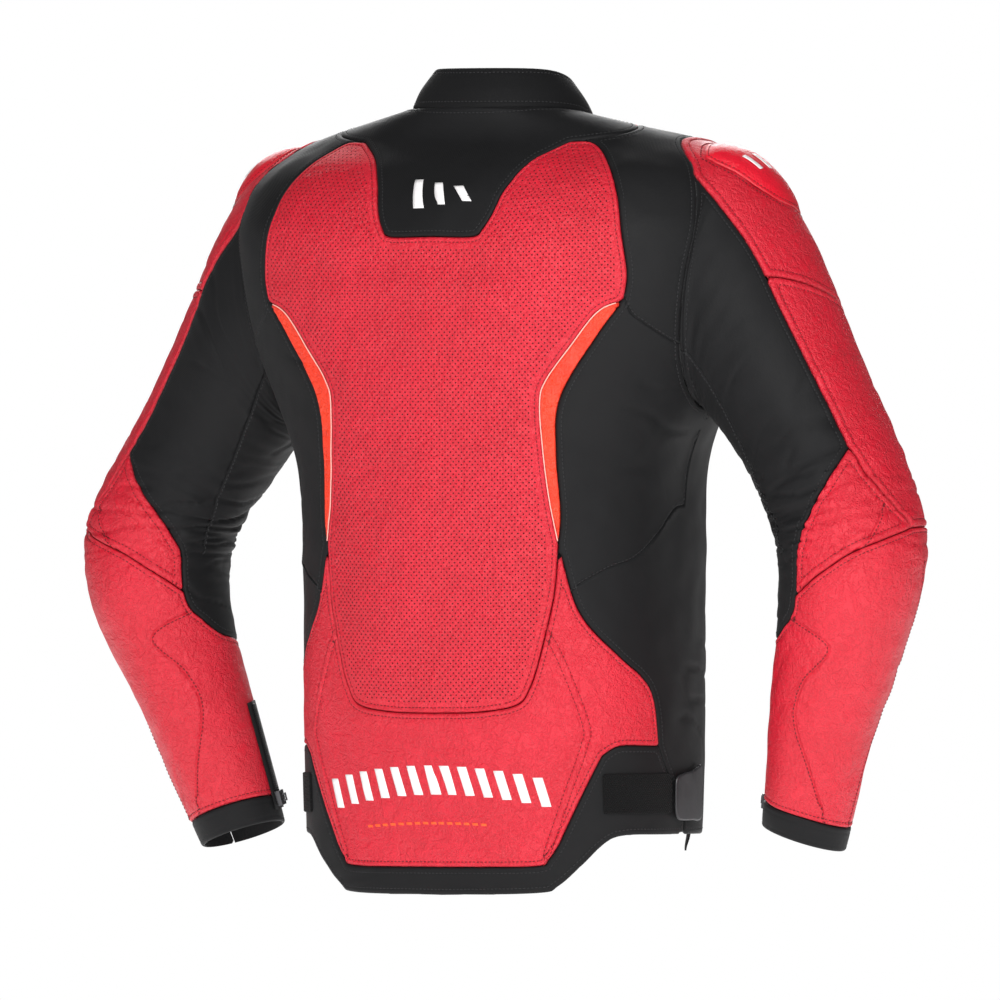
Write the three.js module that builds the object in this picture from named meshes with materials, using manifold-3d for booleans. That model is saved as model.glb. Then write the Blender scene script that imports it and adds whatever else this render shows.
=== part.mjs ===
// A leather riding jacket as its sewn panels, fastenings, lining and armour.
// Millimetres, +Z up. The wearer faces -Y, and the wearer's left is +X.
// The origin is the middle of the neck opening, at the height of the collar seam behind the neck.
import * as THREE from "three";
import { mergeVertices } from "three/addons/utils/BufferGeometryUtils.js";
import Module from "manifold-3d";

const wasm = await Module();
wasm.setup();

// ---- Driving dimensions -------------------------------------------------------------------
const CHEST_GIRTH = 1000; // outside, closed, under the arms
const BACK_LENGTH = 678; // collar seam down to the end of the tail
const SHELL = 2.6; // leather or stretch cloth with its backing
const SEAM_GAP = 0.4; // between two panels that are sewn together
const LINING = 1.2;
const LINING_GAP = 5.5; // between the shell and the lining
const PAD_GAP = 3; // between the lining and the armour
const CUP_RISE = 6.5; // the hard cup on each shoulder
const ARMOUR = 8; // soft armour at the shoulders and elbows
const BACK_PAD = 9;
const ZIP_TAPE_WIDTH = 26;
const ZIP_TEETH_WIDTH = 6;
const ZIP_TEETH_RISE = 2.4;
const FRONT_BULGE_RADIUS = 1250; // the closed front zip follows an arc of this radius
const POCKET_ZIP_LENGTH = 118;
const CUFF_ZIP_LENGTH = 96;
const SLIDER_WALL = 1.6;
const SLIDER_LENGTH = 13;
const SLIDER_CLEARANCE = 0.5;
const PULL_LENGTH = 27;
const PULL_WIDTH = 6.5;
const PULL_THICKNESS = 1.8;
const PULL_PIN = 1.1;
const BRIDGE_WIDTH = 2.4; // the loop on a slider that its pull hangs from
const BRIDGE_EYE = 1.4; // height of that loop's middle above the slider's roof
const TAB_LENGTH = 50; // grip of the waist adjuster
const TAB_THICKNESS = 3;
const TAB_CLEARANCE = 0.7;
const LOOP_THICKNESS = 1.4;
const ELBOW_BALL = 86; // everything within this distance of the elbow pivot turns with the forearm
const ELBOW_CLEARANCE = 2;

// ---- Grading ------------------------------------------------------------------------------
// The pattern is drafted at a girth of 1000 and a back length of 678, and graded from there.
// Heights h are measured upwards from the end of the tail.
const DRAFT_GIRTH = 1000;
const DRAFT_LENGTH = 678;
const WIDE = CHEST_GIRTH / DRAFT_GIRTH;
const LONG = BACK_LENGTH / DRAFT_LENGTH;
const high = (h) => (h - DRAFT_LENGTH) * LONG;
const outline = (points) => points.map(([x, h]) => [x * WIDE, high(h)]);

// Horizontal sections: height, half width, depth behind, y of the widest point, squareness,
// and how far the section drops at the front.
const section = ([h, half, back, middle, square, drop]) => [
  high(h), half * WIDE, back * WIDE, middle * WIDE, square, drop * LONG,
];
const TORSO = [
  [-6, 172, 117, 0, 2.5, 0],
  [70, 174, 123, 0, 2.5, 0],
  [170, 174, 132, 0, 2.5, 0],
  [290, 173, 136, 0, 2.5, 0],
  [385, 183, 138, 0, 2.5, 0],
  [420, 198, 138, -2, 2.5, 0],
  [475, 222, 138, -5, 2.6, 0],
  [530, 237, 138, -8, 2.7, 0],
  [585, 240, 131, -12, 2.7, 0],
  [625, 222, 106, -15, 2.5, 4],
  [650, 184, 78, -18, 2.3, 12],
  [665, 130, 72, -4, 2.2, 26],
  [678, 80, 72, 0, 2.1, 46],
].map(section);
const COLLAR = [
  [678.6, 80, 72, 0, 2.1, 46],
  [693, 73, 68, 0, 2.1, 44],
  [706, 63, 61, 0, 2.1, 42],
  [713, 57, 57, 0, 2.1, 41],
].map(section);

// The armhole seam: height and half width.
const ARMHOLE = [
  [414, 197], [475, 206], [530, 215], [585, 221], [625, 206], [652, 176],
].map(([h, half]) => [high(h), half * WIDE]);

// Sleeve rings: outer edge (x, h), inner edge (x, h), y of the middle, half depth.
const SLEEVE = [
  [234, 629, 200, 413, -12, 84],
  [273, 577, 205, 406, -15, 82],
  [304, 512, 213, 396, -15, 77],
  [343, 435, 235, 367, -12, 70],
  [378, 370, 260, 328, -4, 66],
  [402, 308, 272, 298, 3, 64.5],
  [396, 258, 276, 268, 5, 61],
  [373, 198, 271, 228, 0, 53],
  [343, 129, 256, 158, -12, 46],
  [308, 38, 237, 62, -32, 37],
].map(([ox, oh, ix, ih, y, deep]) => [ox * WIDE, high(oh), ix * WIDE, high(ih), y * WIDE, deep * WIDE]);
const LAST_RING = SLEEVE.length;
const ELBOW = new THREE.Vector3(337 * WIDE, 3 * WIDE, high(290));

// ---- Curves -------------------------------------------------------------------------------
// A smooth curve through rows [key, value, ...], read at a key.
function smooth(rows, key) {
  const last = rows.length - 1;
  const at = Math.min(Math.max(key, rows[0][0]), rows[last][0]);
  let i = 0;
  while (i < last - 1 && at > rows[i + 1][0]) i++;
  const rise = (j, c) => (rows[j + 1][c] - rows[j][c]) / (rows[j + 1][0] - rows[j][0]);
  const slope = (j, c) => {
    if (j === 0) return rise(0, c);
    if (j === last) return rise(last - 1, c);
    const before = rows[j][0] - rows[j - 1][0];
    const after = rows[j + 1][0] - rows[j][0];
    return (rise(j - 1, c) * after + rise(j, c) * before) / (before + after);
  };
  const span = rows[i + 1][0] - rows[i][0];
  const t = (at - rows[i][0]) / span;
  return rows[i].slice(1).map((p, k) => {
    const q = rows[i + 1][k + 1];
    return (2 * t ** 3 - 3 * t ** 2 + 1) * p + (t ** 3 - 2 * t ** 2 + t) * span * slope(i, k + 1)
      + (3 * t ** 2 - 2 * t ** 3) * q + (t ** 3 - t ** 2) * span * slope(i + 1, k + 1);
  });
}

// The front zip lies on an arc from the top of the collar to the front hem.
const ZIP_TOP = { y: -59 * WIDE, z: high(672) };
const ZIP_HEM = { y: -119 * WIDE, z: high(72) };
const zipChord = Math.hypot(ZIP_TOP.y - ZIP_HEM.y, ZIP_TOP.z - ZIP_HEM.z);
const zipReach = Math.sqrt(FRONT_BULGE_RADIUS ** 2 - zipChord ** 2 / 4);
const ZIP_PIVOT = {
  y: (ZIP_TOP.y + ZIP_HEM.y) / 2 + (zipReach * (ZIP_TOP.z - ZIP_HEM.z)) / zipChord,
  z: (ZIP_TOP.z + ZIP_HEM.z) / 2 - (zipReach * (ZIP_TOP.y - ZIP_HEM.y)) / zipChord,
};
const frontLine = (z) => ZIP_PIVOT.y - Math.sqrt(FRONT_BULGE_RADIUS ** 2 - (z - ZIP_PIVOT.z) ** 2);

// ---- The body's surface -------------------------------------------------------------------
function bodySection(sections, z) {
  const [half, back, middle, square, drop] = smooth(sections, z);
  return { half, back, middle, square, drop, front: frontLine(z - drop) };
}

// Angle 0 is the middle of the back, and a quarter turn is the wearer's left side.
function bodyPoint(sections, angle, z, out = 0) {
  const s = bodySection(sections, z);
  const power = (v) => Math.sign(v) * Math.abs(v) ** (2 / s.square);
  const cos = Math.cos(angle);
  const depth = cos > 0 ? s.back - s.middle : s.middle - s.front;
  const x = s.half * power(Math.sin(angle));
  const y = s.middle + depth * power(cos);
  const lowered = z - s.drop * ((1 - cos) / 2) ** 3;
  const steep = (px, py, pz) => {
    const r = bodySection(sections, pz);
    const reach = py > r.middle ? r.back - r.middle : r.middle - r.front;
    return (Math.abs(px) / r.half) ** r.square + (Math.abs(py - r.middle) / reach) ** r.square;
  };
  const step = 0.4;
  const normal = new THREE.Vector3(
    steep(x + step, y, z) - steep(x - step, y, z),
    steep(x, y + step, z) - steep(x, y - step, z),
    steep(x, y, z + step) - steep(x, y, z - step),
  ).normalize();
  return new THREE.Vector3(x, y, lowered).addScaledVector(normal, out);
}

// The depth of the body's surface at a half width and a height, behind or in front.
function bodyDepth(x, z, side) {
  const s = bodySection(TORSO, z);
  const depth = side > 0 ? s.back - s.middle : s.front - s.middle;
  const share = Math.max(0, 1 - (Math.abs(x) / s.half) ** s.square);
  return s.middle + depth * share ** (1 / s.square);
}

const armhole = (z) => smooth(ARMHOLE, z)[0];

// ---- The sleeve's surface -----------------------------------------------------------------
// The left sleeve. Angle 0 is its outer edge, and a quarter turn is its back. Ring 0 is the armhole.
const ARMHOLE_MIDDLE = (ARMHOLE[0][0] + ARMHOLE[ARMHOLE.length - 1][0]) / 2;
const ARMHOLE_REACH = ARMHOLE[ARMHOLE.length - 1][0] - ARMHOLE_MIDDLE;
function sleeveRing(ring, angle) {
  if (ring === 0) {
    const z = ARMHOLE_MIDDLE + ARMHOLE_REACH * Math.cos(angle);
    const x = armhole(z);
    return [x, bodyDepth(x, z, Math.sin(angle)), z];
  }
  const [ox, oz, ix, iz, y, deep] = SLEEVE[ring - 1];
  const cos = Math.cos(angle);
  return [(ox + ix + (ox - ix) * cos) / 2, y + deep * Math.sin(angle), (oz + iz + (oz - iz) * cos) / 2];
}
const sleeveSkin = (angle, ring) => {
  const rows = [...Array(LAST_RING + 1).keys()].map((k) => [k, ...sleeveRing(k, angle)]);
  return new THREE.Vector3(...smooth(rows, ring));
};
function sleevePoint(angle, ring, out = 0) {
  const turn = 0.02;
  const step = 0.02;
  const around = sleeveSkin(angle + turn, ring).sub(sleeveSkin(angle - turn, ring));
  const along = sleeveSkin(angle, Math.min(ring + step, LAST_RING))
    .sub(sleeveSkin(angle, Math.max(ring - step, 0)));
  const normal = along.cross(around).normalize();
  return sleeveSkin(angle, ring).addScaledVector(normal, out);
}

// ---- Solids -------------------------------------------------------------------------------
function solid(geometry) {
  const bare = geometry.index ? geometry.toNonIndexed() : geometry.clone();
  bare.deleteAttribute("normal");
  bare.deleteAttribute("uv");
  const merged = mergeVertices(bare, 1e-3);
  const made = new wasm.Manifold(new wasm.Mesh({
    numProp: 3,
    vertProperties: new Float32Array(merged.attributes.position.array),
    triVerts: new Uint32Array(merged.index.array),
  }));
  return made;
}

// A closed sheet between an outer and an inner skin, on a grid of columns and rows.
function sheet(skin, columns, rows, outer, inner, ring = false) {
  const points = [];
  for (const out of [outer, inner])
    for (let r = 0; r <= rows; r++)
      for (let c = 0; c <= columns; c++) points.push(...skin(c / columns, r / rows, out).toArray());
  const layer = (columns + 1) * (rows + 1);
  const at = (c, r, deep) => deep * layer + r * (columns + 1) + c;
  const faces = [];
  const quad = (a, b, c, d) => faces.push(a, b, c, a, c, d);
  for (let r = 0; r < rows; r++)
    for (let c = 0; c < columns; c++) {
      quad(at(c, r, 0), at(c, r + 1, 0), at(c + 1, r + 1, 0), at(c + 1, r, 0));
      quad(at(c, r, 1), at(c + 1, r, 1), at(c + 1, r + 1, 1), at(c, r + 1, 1));
    }
  for (let c = 0; c < columns; c++) {
    quad(at(c, 0, 0), at(c + 1, 0, 0), at(c + 1, 0, 1), at(c, 0, 1));
    quad(at(c, rows, 0), at(c, rows, 1), at(c + 1, rows, 1), at(c + 1, rows, 0));
  }
  if (!ring)
    for (let r = 0; r < rows; r++) {
      quad(at(0, r, 0), at(0, r, 1), at(0, r + 1, 1), at(0, r + 1, 0));
      quad(at(columns, r, 0), at(columns, r + 1, 0), at(columns, r + 1, 1), at(columns, r, 1));
    }
  const geometry = new THREE.BufferGeometry()
    .setAttribute("position", new THREE.Float32BufferAttribute(points, 3))
    .setIndex(faces);
  const made = solid(geometry);
  if (made.volume() > 0) return made;
  for (let i = 0; i < faces.length; i += 3) [faces[i], faces[i + 1]] = [faces[i + 1], faces[i]];
  geometry.setIndex(faces);
  return solid(geometry);
}

// A prism through the body, from an outline drawn as seen from behind or in front.
function prism(points, yFrom, yTo) {
  const shape = new THREE.Shape(points.map(([x, z]) => new THREE.Vector2(x, z)));
  const geometry = new THREE.ExtrudeGeometry(shape, { depth: yTo - yFrom, bevelEnabled: false });
  geometry.rotateX(Math.PI / 2);
  geometry.translate(0, yTo, 0);
  return solid(geometry);
}

// An outline moved outwards by a distance, or inwards if it is negative.
function grown(points, by) {
  const area = THREE.ShapeUtils.area(points.map(([x, z]) => new THREE.Vector2(x, z)));
  return points.map((p, i) => {
    const a = points[(i + points.length - 1) % points.length];
    const b = points[(i + 1) % points.length];
    const normal = (from, to) => {
      const v = new THREE.Vector2(to[1] - from[1], from[0] - to[0]).normalize();
      return v.multiplyScalar(Math.sign(area));
    };
    const before = normal(a, p);
    const after = normal(p, b);
    const corner = before.clone().add(after).normalize();
    const stretch = by / Math.max(0.5, corner.dot(before));
    return [p[0] + corner.x * stretch, p[1] + corner.y * stretch];
  });
}

const mirrored = (points) => points.map(([x, z]) => [-x, z]).reverse();
const bothSides = (points) => [...points, ...mirrored(points)];
const biggest = (made) => made.decompose().sort((a, b) => b.volume() - a.volume())[0];
const box = (w, d, h, x, y, z) => solid(new THREE.BoxGeometry(w, d, h).translate(x, y, z));
const FAR = 900;

const jacket = new THREE.Group();
jacket.name = "leather_riding_jacket";
const finish = {
  red: [0xe8323f, 0.45, 0], stretch: [0x2a2a2b, 0.85, 0], orange: [0xfd3b12, 0.45, 0],
  lining: [0x17171a, 0.9, 0], pad: [0x3a3d40, 0.8, 0], rubber: [0x38363a, 0.6, 0],
  loop: [0x121212, 0.95, 0], cup: [0xd2202c, 0.35, 0], zip: [0x1b1b1c, 0.6, 0],
  metal: [0x34363a, 0.35, 1],
};
function add(name, made, [color, roughness, metalness]) {
  const mesh = made.getMesh();
  const points = new Float32Array(mesh.numVert * 3);
  for (let i = 0; i < mesh.numVert; i++)
    points.set(mesh.vertProperties.subarray(i * mesh.numProp, i * mesh.numProp + 3), i * 3);
  const geometry = new THREE.BufferGeometry()
    .setAttribute("position", new THREE.BufferAttribute(points, 3))
    .setIndex(new THREE.BufferAttribute(new Uint32Array(mesh.triVerts), 1));
  geometry.computeVertexNormals();
  const part = new THREE.Mesh(geometry, new THREE.MeshStandardMaterial({ color, roughness, metalness }));
  part.name = name;
  jacket.add(part);
}
const otherSide = (made) => made.mirror([1, 0, 0]);
function pair(name, left, material) {
  add(name + "_left", left, material);
  add(name + "_right", otherSide(left), material);
}

// ---- Body shell and its panels ------------------------------------------------------------
const BODY_COLUMNS = 24;
const BODY_ROWS = 13;
function bodyBand(sections, rows, outer, inner, low = 0, top = 1, columns = BODY_COLUMNS) {
  const first = sections[0][0];
  const reach = sections[sections.length - 1][0] - first;
  const levels = (share) => first + reach * (1 - (1 - (low + (top - low) * share)) ** 1.7);
  const skin = (c, r, out) => bodyPoint(sections, c * 2 * Math.PI, levels(r), out);
  return sheet(skin, columns, rows, outer, inner, true);
}

// What lies outside the armhole seam, as seen from behind.
const beyondArmhole = [
  ...ARMHOLE.map(([z, x]) => [x, z]),
  [ARMHOLE[ARMHOLE.length - 1][1], FAR], [FAR, FAR], [FAR, -FAR], [187 * WIDE, -FAR], [187 * WIDE, high(370)],
];
const sleeveSide = prism(grown(beyondArmhole, -SEAM_GAP), -FAR, FAR);
const armCutters = (grow) => {
  const right = prism(grown(beyondArmhole, grow), -FAR, FAR);
  return right.add(otherSide(right));
};

const HEM_BACK = outline([[0, 2], [90, 4], [106, 10], [125, 28], [143, 48], [153, 54], [400, 54]]);
const HEM_FRONT = outline([[0, 72], [70, 70], [125, 60], [160, 54], [400, 54]]);
const below = (points) => [...points, [400 * WIDE, -FAR], [-400 * WIDE, -FAR], ...mirrored(points.slice(1))];
const hemCutters = (lift) => prism(below(HEM_BACK).map(([x, z]) => [x, z + lift]), 0, FAR)
  .add(prism(below(HEM_FRONT).map(([x, z]) => [x, z + lift]), -FAR, 0.01));

let cloth = bodyBand(TORSO, BODY_ROWS, 0, -SHELL)
  .subtract(armCutters(SEAM_GAP))
  .subtract(hemCutters(0));

const placketHalf = ZIP_TAPE_WIDTH / 2 + SEAM_GAP;
cloth = cloth.subtract(box(2 * placketHalf, FAR, 2 * FAR, 0, -FAR / 2, 0));

// Takes the panel inside an outline off the cloth and leaves a seam around it.
function cut(points, yFrom, yTo) {
  const panel = cloth.intersect(prism(grown(points, -SEAM_GAP / 2), yFrom, yTo));
  cloth = cloth.subtract(prism(grown(points, SEAM_GAP / 2), yFrom, yTo));
  return biggest(panel);
}
const BEHIND = [0, FAR];
const AHEAD = [-FAR, -20 * WIDE];

// Back outlines, right half first, drawn upwards from the middle of the lower edge.
const tongue = outline([[0, 566], [40, 566], [48, 572], [55, 586], [63, 611], [76, 632], [99, 648]]);
const shoulderLobe = outline([[133, 639], [150, 622], [163, 600], [171, 572], [176, 530]]);
const strapInner = outline([[152, 506], [127, 472], [106, 443], [101, 425], [102, 390], [106, 345], [113, 302]]);
const strapOuter = outline([[116, 310], [113, 382], [119, 430], [150, 482], [174, 512]]);
const perforatedLow = outline([[109, 258], [96, 205], [88, 180], [76, 167], [40, 159], [0, 158]]);
const perforated = bothSides([...tongue, ...shoulderLobe, ...strapInner, ...perforatedLow].slice(1, -1));
add("back_perforated_panel", cut(perforated, ...BEHIND), finish.red);

const lowerSide = outline([[127, 246], [152, 206], [164, 190], [170.5, 162], [170.5, 130], [150, 130]]);
const lowerHem = outline([[142, 122], [127, 88], [106, 44], [97, 33], [86, 27], [0, 26]]);
const lowerPanel = bothSides([...[...perforatedLow].reverse(), strapInner[6], ...lowerSide, ...lowerHem].slice(1, -1));
add("back_lower_panel", cut(lowerPanel, ...BEHIND), finish.red);

const strap = [shoulderLobe[4], ...strapInner, ...strapOuter];
pair("accent_strip", cut(strap, ...BEHIND), finish.orange);
cut(mirrored(strap), ...BEHIND);

const yokeShoulder = outline([[128, 664], [128, 720], [0, 720]]);
const yoke = bothSides([...tongue, ...yokeShoulder].slice(1, -1));
add("back_yoke", cut(yoke, -18 * WIDE, FAR), finish.stretch);

const tail = outline([[0, -20], [200, -20], [200, 54], [200, 104], [170.5, 130], [150, 130]]);
const tailPanel = bothSides([...tail, ...lowerHem].slice(1, -1));
add("tail_panel", cut(tailPanel, 20 * WIDE, FAR), finish.stretch);

// Front panels, left half.
const chest = outline([[5, 332], [118, 332], [150, 400], [176, 470], [168, 560], [150, 640], [120, 700], [5, 700]]);
pair("front_chest_panel", cut(chest, ...AHEAD), finish.red);
cut(mirrored(chest), ...AHEAD);
const belly = outline([[5, 40], [112, 40], [126, 200], [118, 332], [5, 332]]);
pair("front_lower_panel", cut(belly, ...AHEAD), finish.red);
cut(mirrored(belly), ...AHEAD);
const flank = cloth.intersect(box(FAR, 2 * FAR, 2 * FAR, FAR / 2 + 1, 0, 0));
pair("side_stretch_panel", biggest(flank), finish.stretch);

// ---- Collar, lining and what hangs inside ---------------------------------------------------
const COLLAR_COLUMNS = 22;
const collarSlot = box(2 * placketHalf, FAR, FAR, 0, -FAR / 2, 0);
add("collar_shell", bodyBand(COLLAR, 3, 0, -SHELL, 0, 1, COLLAR_COLUMNS).subtract(collarSlot), finish.stretch);
const collarInside = -SHELL - 0.4;
add("collar_facing", bodyBand(COLLAR, 3, collarInside, collarInside - LINING, 0.05, 0.97, COLLAR_COLUMNS)
  .subtract(collarSlot), finish.lining);

const liningOut = -SHELL - LINING_GAP;
const liningIn = liningOut - LINING;
const bodyLining = bodyBand(TORSO, BODY_ROWS, liningOut, liningIn, 0, 0.965, 18)
  .subtract(armCutters(SEAM_GAP))
  .subtract(hemCutters(16 * LONG))
  .subtract(box(2 * placketHalf + 4, FAR, 2 * FAR, 0, -FAR / 2, 0));
add("body_lining", bodyLining, finish.lining);

const padReach = 0.36; // of a right angle's sine, each side of the spine
const backPad = sheet(
  (c, r, out) => bodyPoint(TORSO, (c - 0.5) * 2 * padReach, high(200) + r * (high(545) - high(200)), out),
  6, 7, liningIn - 2 * PAD_GAP, liningIn - 2 * PAD_GAP - BACK_PAD,
);
add("back_protector", backPad, finish.pad);

const loopSkin = (c, r, out) => {
  const turn = (c - 0.5) * Math.PI;
  const reach = 15 * Math.cos(turn) + out;
  return new THREE.Vector3(26 * Math.sin(turn) * (1 + out / 26), 66 * WIDE - 10 - 4 * r, high(668) - reach);
};
add("hanger_loop", sheet(loopSkin, 10, 1, 1.2, -1.2), finish.stretch);

// ---- Front zip ----------------------------------------------------------------------------
// A bar along the front zip's arc. Lifts are measured outwards from the arc.
function zipBar(halfWidth, liftIn, liftOut, zLow, zTop, rows) {
  const skin = (c, r, out) => {
    const z = zLow + (zTop - zLow) * r;
    const radial = new THREE.Vector2(frontLine(z) - ZIP_PIVOT.y, z - ZIP_PIVOT.z).normalize();
    return new THREE.Vector3((2 * c - 1) * halfWidth, frontLine(z) + radial.x * out, z + radial.y * out);
  };
  return sheet(skin, 1, rows, liftOut, liftIn);
}
const zipLow = HEM_FRONT[0][1] + 1;
const zipHigh = ZIP_TOP.z - 1;
add("front_zip_tape", zipBar(ZIP_TAPE_WIDTH / 2, -SHELL, -0.4, zipLow, zipHigh, 16), finish.zip);
add("front_zip_teeth", zipBar(ZIP_TEETH_WIDTH / 2, -0.1, ZIP_TEETH_RISE, zipLow + 3, zipHigh - 2, 16), finish.zip);

// A slider straddles the teeth. Its own frame has the teeth running along z, outwards along +y.
const SLIDER_WIDTH = ZIP_TEETH_WIDTH + 2 * SLIDER_WALL + 2 * SLIDER_CLEARANCE;
const sliderRoof = ZIP_TEETH_RISE + SLIDER_CLEARANCE;
function sliderSolid() {
  const height = sliderRoof + SLIDER_WALL;
  const body = box(SLIDER_WIDTH, height - 0.2, SLIDER_LENGTH, 0, (height + 0.2) / 2, 0);
  const channel = box(ZIP_TEETH_WIDTH + 2 * SLIDER_CLEARANCE, 2 * sliderRoof, 2 * SLIDER_LENGTH, 0, 0, 0);
  const bridge = box(BRIDGE_WIDTH, 4.4, 7, 0, height + 1.2, 0);
  const eye = box(2 * BRIDGE_WIDTH, 2.6, 3.6, 0, height + BRIDGE_EYE, 0);
  return body.subtract(channel).add(bridge.subtract(eye));
}
// The pull hangs on the bridge by a ring end, and turns about x at its own origin.
const pullLift = sliderRoof + SLIDER_WALL + BRIDGE_EYE;
function pullSolid() {
  const frame = box(PULL_WIDTH, PULL_PIN, 7, 0, 0, -2.7);
  const window = box(BRIDGE_WIDTH + 2 * SLIDER_CLEARANCE, 2 * PULL_PIN, 4.2, 0, 0, -2.9);
  const plate = box(PULL_WIDTH, PULL_THICKNESS, PULL_LENGTH - 5, 0, 0, -PULL_LENGTH / 2 - 2.5);
  return frame.subtract(window).add(plate);
}
function placed(made, at, outwards, upwards) {
  const z = upwards.clone().normalize();
  const y = outwards.clone().addScaledVector(z, -outwards.dot(z)).normalize();
  const x = y.clone().cross(z);
  const m = new THREE.Matrix4().makeBasis(x, y, z).setPosition(at);
  return made.transform(m.elements.slice());
}
function zipFittings(at, outwards, upwards) {
  const pivot = at.clone().addScaledVector(outwards, pullLift);
  return [placed(sliderSolid(), at, outwards, upwards), placed(pullSolid(), pivot, outwards, upwards)];
}
const frontRadial = (z) => new THREE.Vector3(0, frontLine(z) - ZIP_PIVOT.y, z - ZIP_PIVOT.z).normalize();
const FRONT_REST = zipHigh - 12;
{
  const out = frontRadial(FRONT_REST);
  const up = new THREE.Vector3(0, -out.z, out.y);
  if (up.z < 0) up.negate();
  const at = new THREE.Vector3(0, frontLine(FRONT_REST), FRONT_REST);
  const [slider, pull] = zipFittings(at, out, up);
  add("front_zip_slider", slider, finish.metal);
  add("front_zip_pull", pull, finish.metal);
}

// ---- Pocket zips --------------------------------------------------------------------------
// A straight zip between two points, lying on the surface there: a tape with its teeth.
function straightZip(top, low, outwards) {
  const up = top.clone().sub(low);
  const length = up.length();
  const tape = box(ZIP_TAPE_WIDTH * 0.7, 0.9, length, 0, -0.75, 0);
  const teeth = box(ZIP_TEETH_WIDTH, ZIP_TEETH_RISE + 0.5, length - 4, 0, (ZIP_TEETH_RISE - 0.5) / 2, 0);
  return placed(tape.add(teeth), top.clone().add(low).multiplyScalar(0.5), outwards, up);
}
const POCKET_X = 92 * WIDE;
const pocketTopZ = high(262);
const frontSurface = (x, z, lift) => {
  const s = bodySection(TORSO, z);
  const angle = Math.PI - Math.asin((x / s.half) ** (s.square / 2));
  return bodyPoint(TORSO, angle, z, lift);
};
{
  const lift = 3.1;
  const top = frontSurface(POCKET_X, pocketTopZ, lift);
  const low = frontSurface(POCKET_X, pocketTopZ - POCKET_ZIP_LENGTH, lift);
  const up = top.clone().sub(low).normalize();
  const normal = frontSurface(POCKET_X, pocketTopZ, lift + 10).sub(top).normalize();
  const out = normal.addScaledVector(up, -normal.dot(up)).normalize();
  pair("pocket_zip", straightZip(top, low, out), finish.zip);
  const [slider, pull] = zipFittings(top.clone().addScaledVector(up, -10), out, up);
  pair("pocket_zip_slider", slider, finish.metal);
  pair("pocket_zip_pull", pull, finish.metal);
}

// ---- Waist adjusters ----------------------------------------------------------------------
const bodyPatch = (a0, a1, z0, z1, columns, rows, outer, inner) => sheet(
  (c, r, out) => bodyPoint(TORSO, a0 + (a1 - a0) * c, z0 + (z1 - z0) * r, out),
  columns, rows, outer, inner,
);
const degrees = (d) => (d * Math.PI) / 180;
const WAIST_LOW = high(66);
const WAIST_HIGH = high(112);
const TAB_START = degrees(83);
const patchLow = WAIST_LOW + 6;
const patchHigh = WAIST_HIGH - 5;
const loopPatch = bodyPatch(degrees(50), TAB_START, patchLow, patchHigh, 5, 2, SEAM_GAP + LOOP_THICKNESS, SEAM_GAP);
pair("waist_loop_patch", loopPatch, finish.loop);
const tabLift = SEAM_GAP + LOOP_THICKNESS + TAB_CLEARANCE;
const tabBack = bodyPoint(TORSO, TAB_START, WAIST_HIGH, tabLift).y;
const waistTab = bodyPatch(TAB_START, degrees(112), WAIST_LOW, WAIST_HIGH, 6, 2, tabLift + TAB_THICKNESS, tabLift)
  .intersect(box(FAR, 2 * TAB_LENGTH, 2 * FAR, 0, tabBack, 0));
pair("waist_tab", waistTab, finish.rubber);

// ---- Sleeves ------------------------------------------------------------------------------
const FRONT_SEAM = degrees(-60);
const CUFF_RING = LAST_RING - 0.24;
const backSeam = (ring) => degrees(smooth([
  [0, 46], [2.5, 48], [4.6, 50], [5.1, 72], [5.7, 98], [6.4, 120], [8.1, 130], [10, 130],
], ring)[0]);
// Every sleeve panel takes its rows from these rings, so that neighbours have the same edges.
const RINGS = [0, 0.55, 1.15, 1.75, 2.35, 3.1, 3.85, 4.6, 5.2, 5.8, 6.4, 7, 7.5, 8.1, 8.9, CUFF_RING];
const crossSeam = (c) => 2.95 - 0.6 * c;
const elbowSeam = (c) => 5.9 + 1.1 * c;
const GUSSET_END = 8.1;
const OUTER_COLUMNS = 8;
const UNDER_COLUMNS = 10;
const angleGap = degrees(0.36);
const ringGap = 0.007;

// A sleeve panel between two angles and two rings, which may change along the seam.
function panelSkin(fromAngle, toAngle, fromRing, toRing) {
  const [first, last] = [RINGS.indexOf(fromRing(1)), RINGS.indexOf(toRing(1))];
  const rows = last - first;
  const skin = (c, r, out) => {
    const share = (RINGS[first + Math.round(r * rows)] - RINGS[first]) / (RINGS[last] - RINGS[first]);
    const start = fromRing(c) + (fromRing(c) > 0 ? ringGap / 2 : 0);
    const ring = start + (toRing(c) - ringGap / 2 - start) * share;
    const angle = fromAngle(ring) + (toAngle(ring) - fromAngle(ring)) * c;
    return sleevePoint(angle, ring, out);
  };
  return { skin, rows };
}
const sewn = ({ skin, rows }, columns) => sheet(skin, columns, rows, 0, -SHELL);
const frontEdge = () => FRONT_SEAM + 1.5 * angleGap;
const frontEdgeAgain = () => FRONT_SEAM + 2 * Math.PI - 1.5 * angleGap;
const backEdge = (ring) => backSeam(ring) - angleGap / 2;
const backEdgeAgain = (ring) => backSeam(ring) + angleGap / 2;

// Everything below the elbow's plane or inside the ball round its pivot turns with the forearm.
function forearmSide(grow) {
  const ball = solid(new THREE.SphereGeometry(ELBOW_BALL * WIDE + grow, 24, 14).translate(...ELBOW.toArray()));
  const low = box(FAR, FAR, FAR, ELBOW.x, 0, ELBOW.z - FAR / 2);
  return ball.add(low);
}
const forearmHalf = forearmSide(0);
const upperCut = forearmSide(ELBOW_CLEARANCE);
const upper = (made) => biggest(made.subtract(upperCut).intersect(sleeveSide));
const lower = (made) => biggest(made.intersect(forearmHalf));

const capSkin = panelSkin(frontEdge, backEdge, () => 0, crossSeam);
pair("shoulder_panel", biggest(sewn(capSkin, OUTER_COLUMNS).intersect(sleeveSide)), finish.red);

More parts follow.
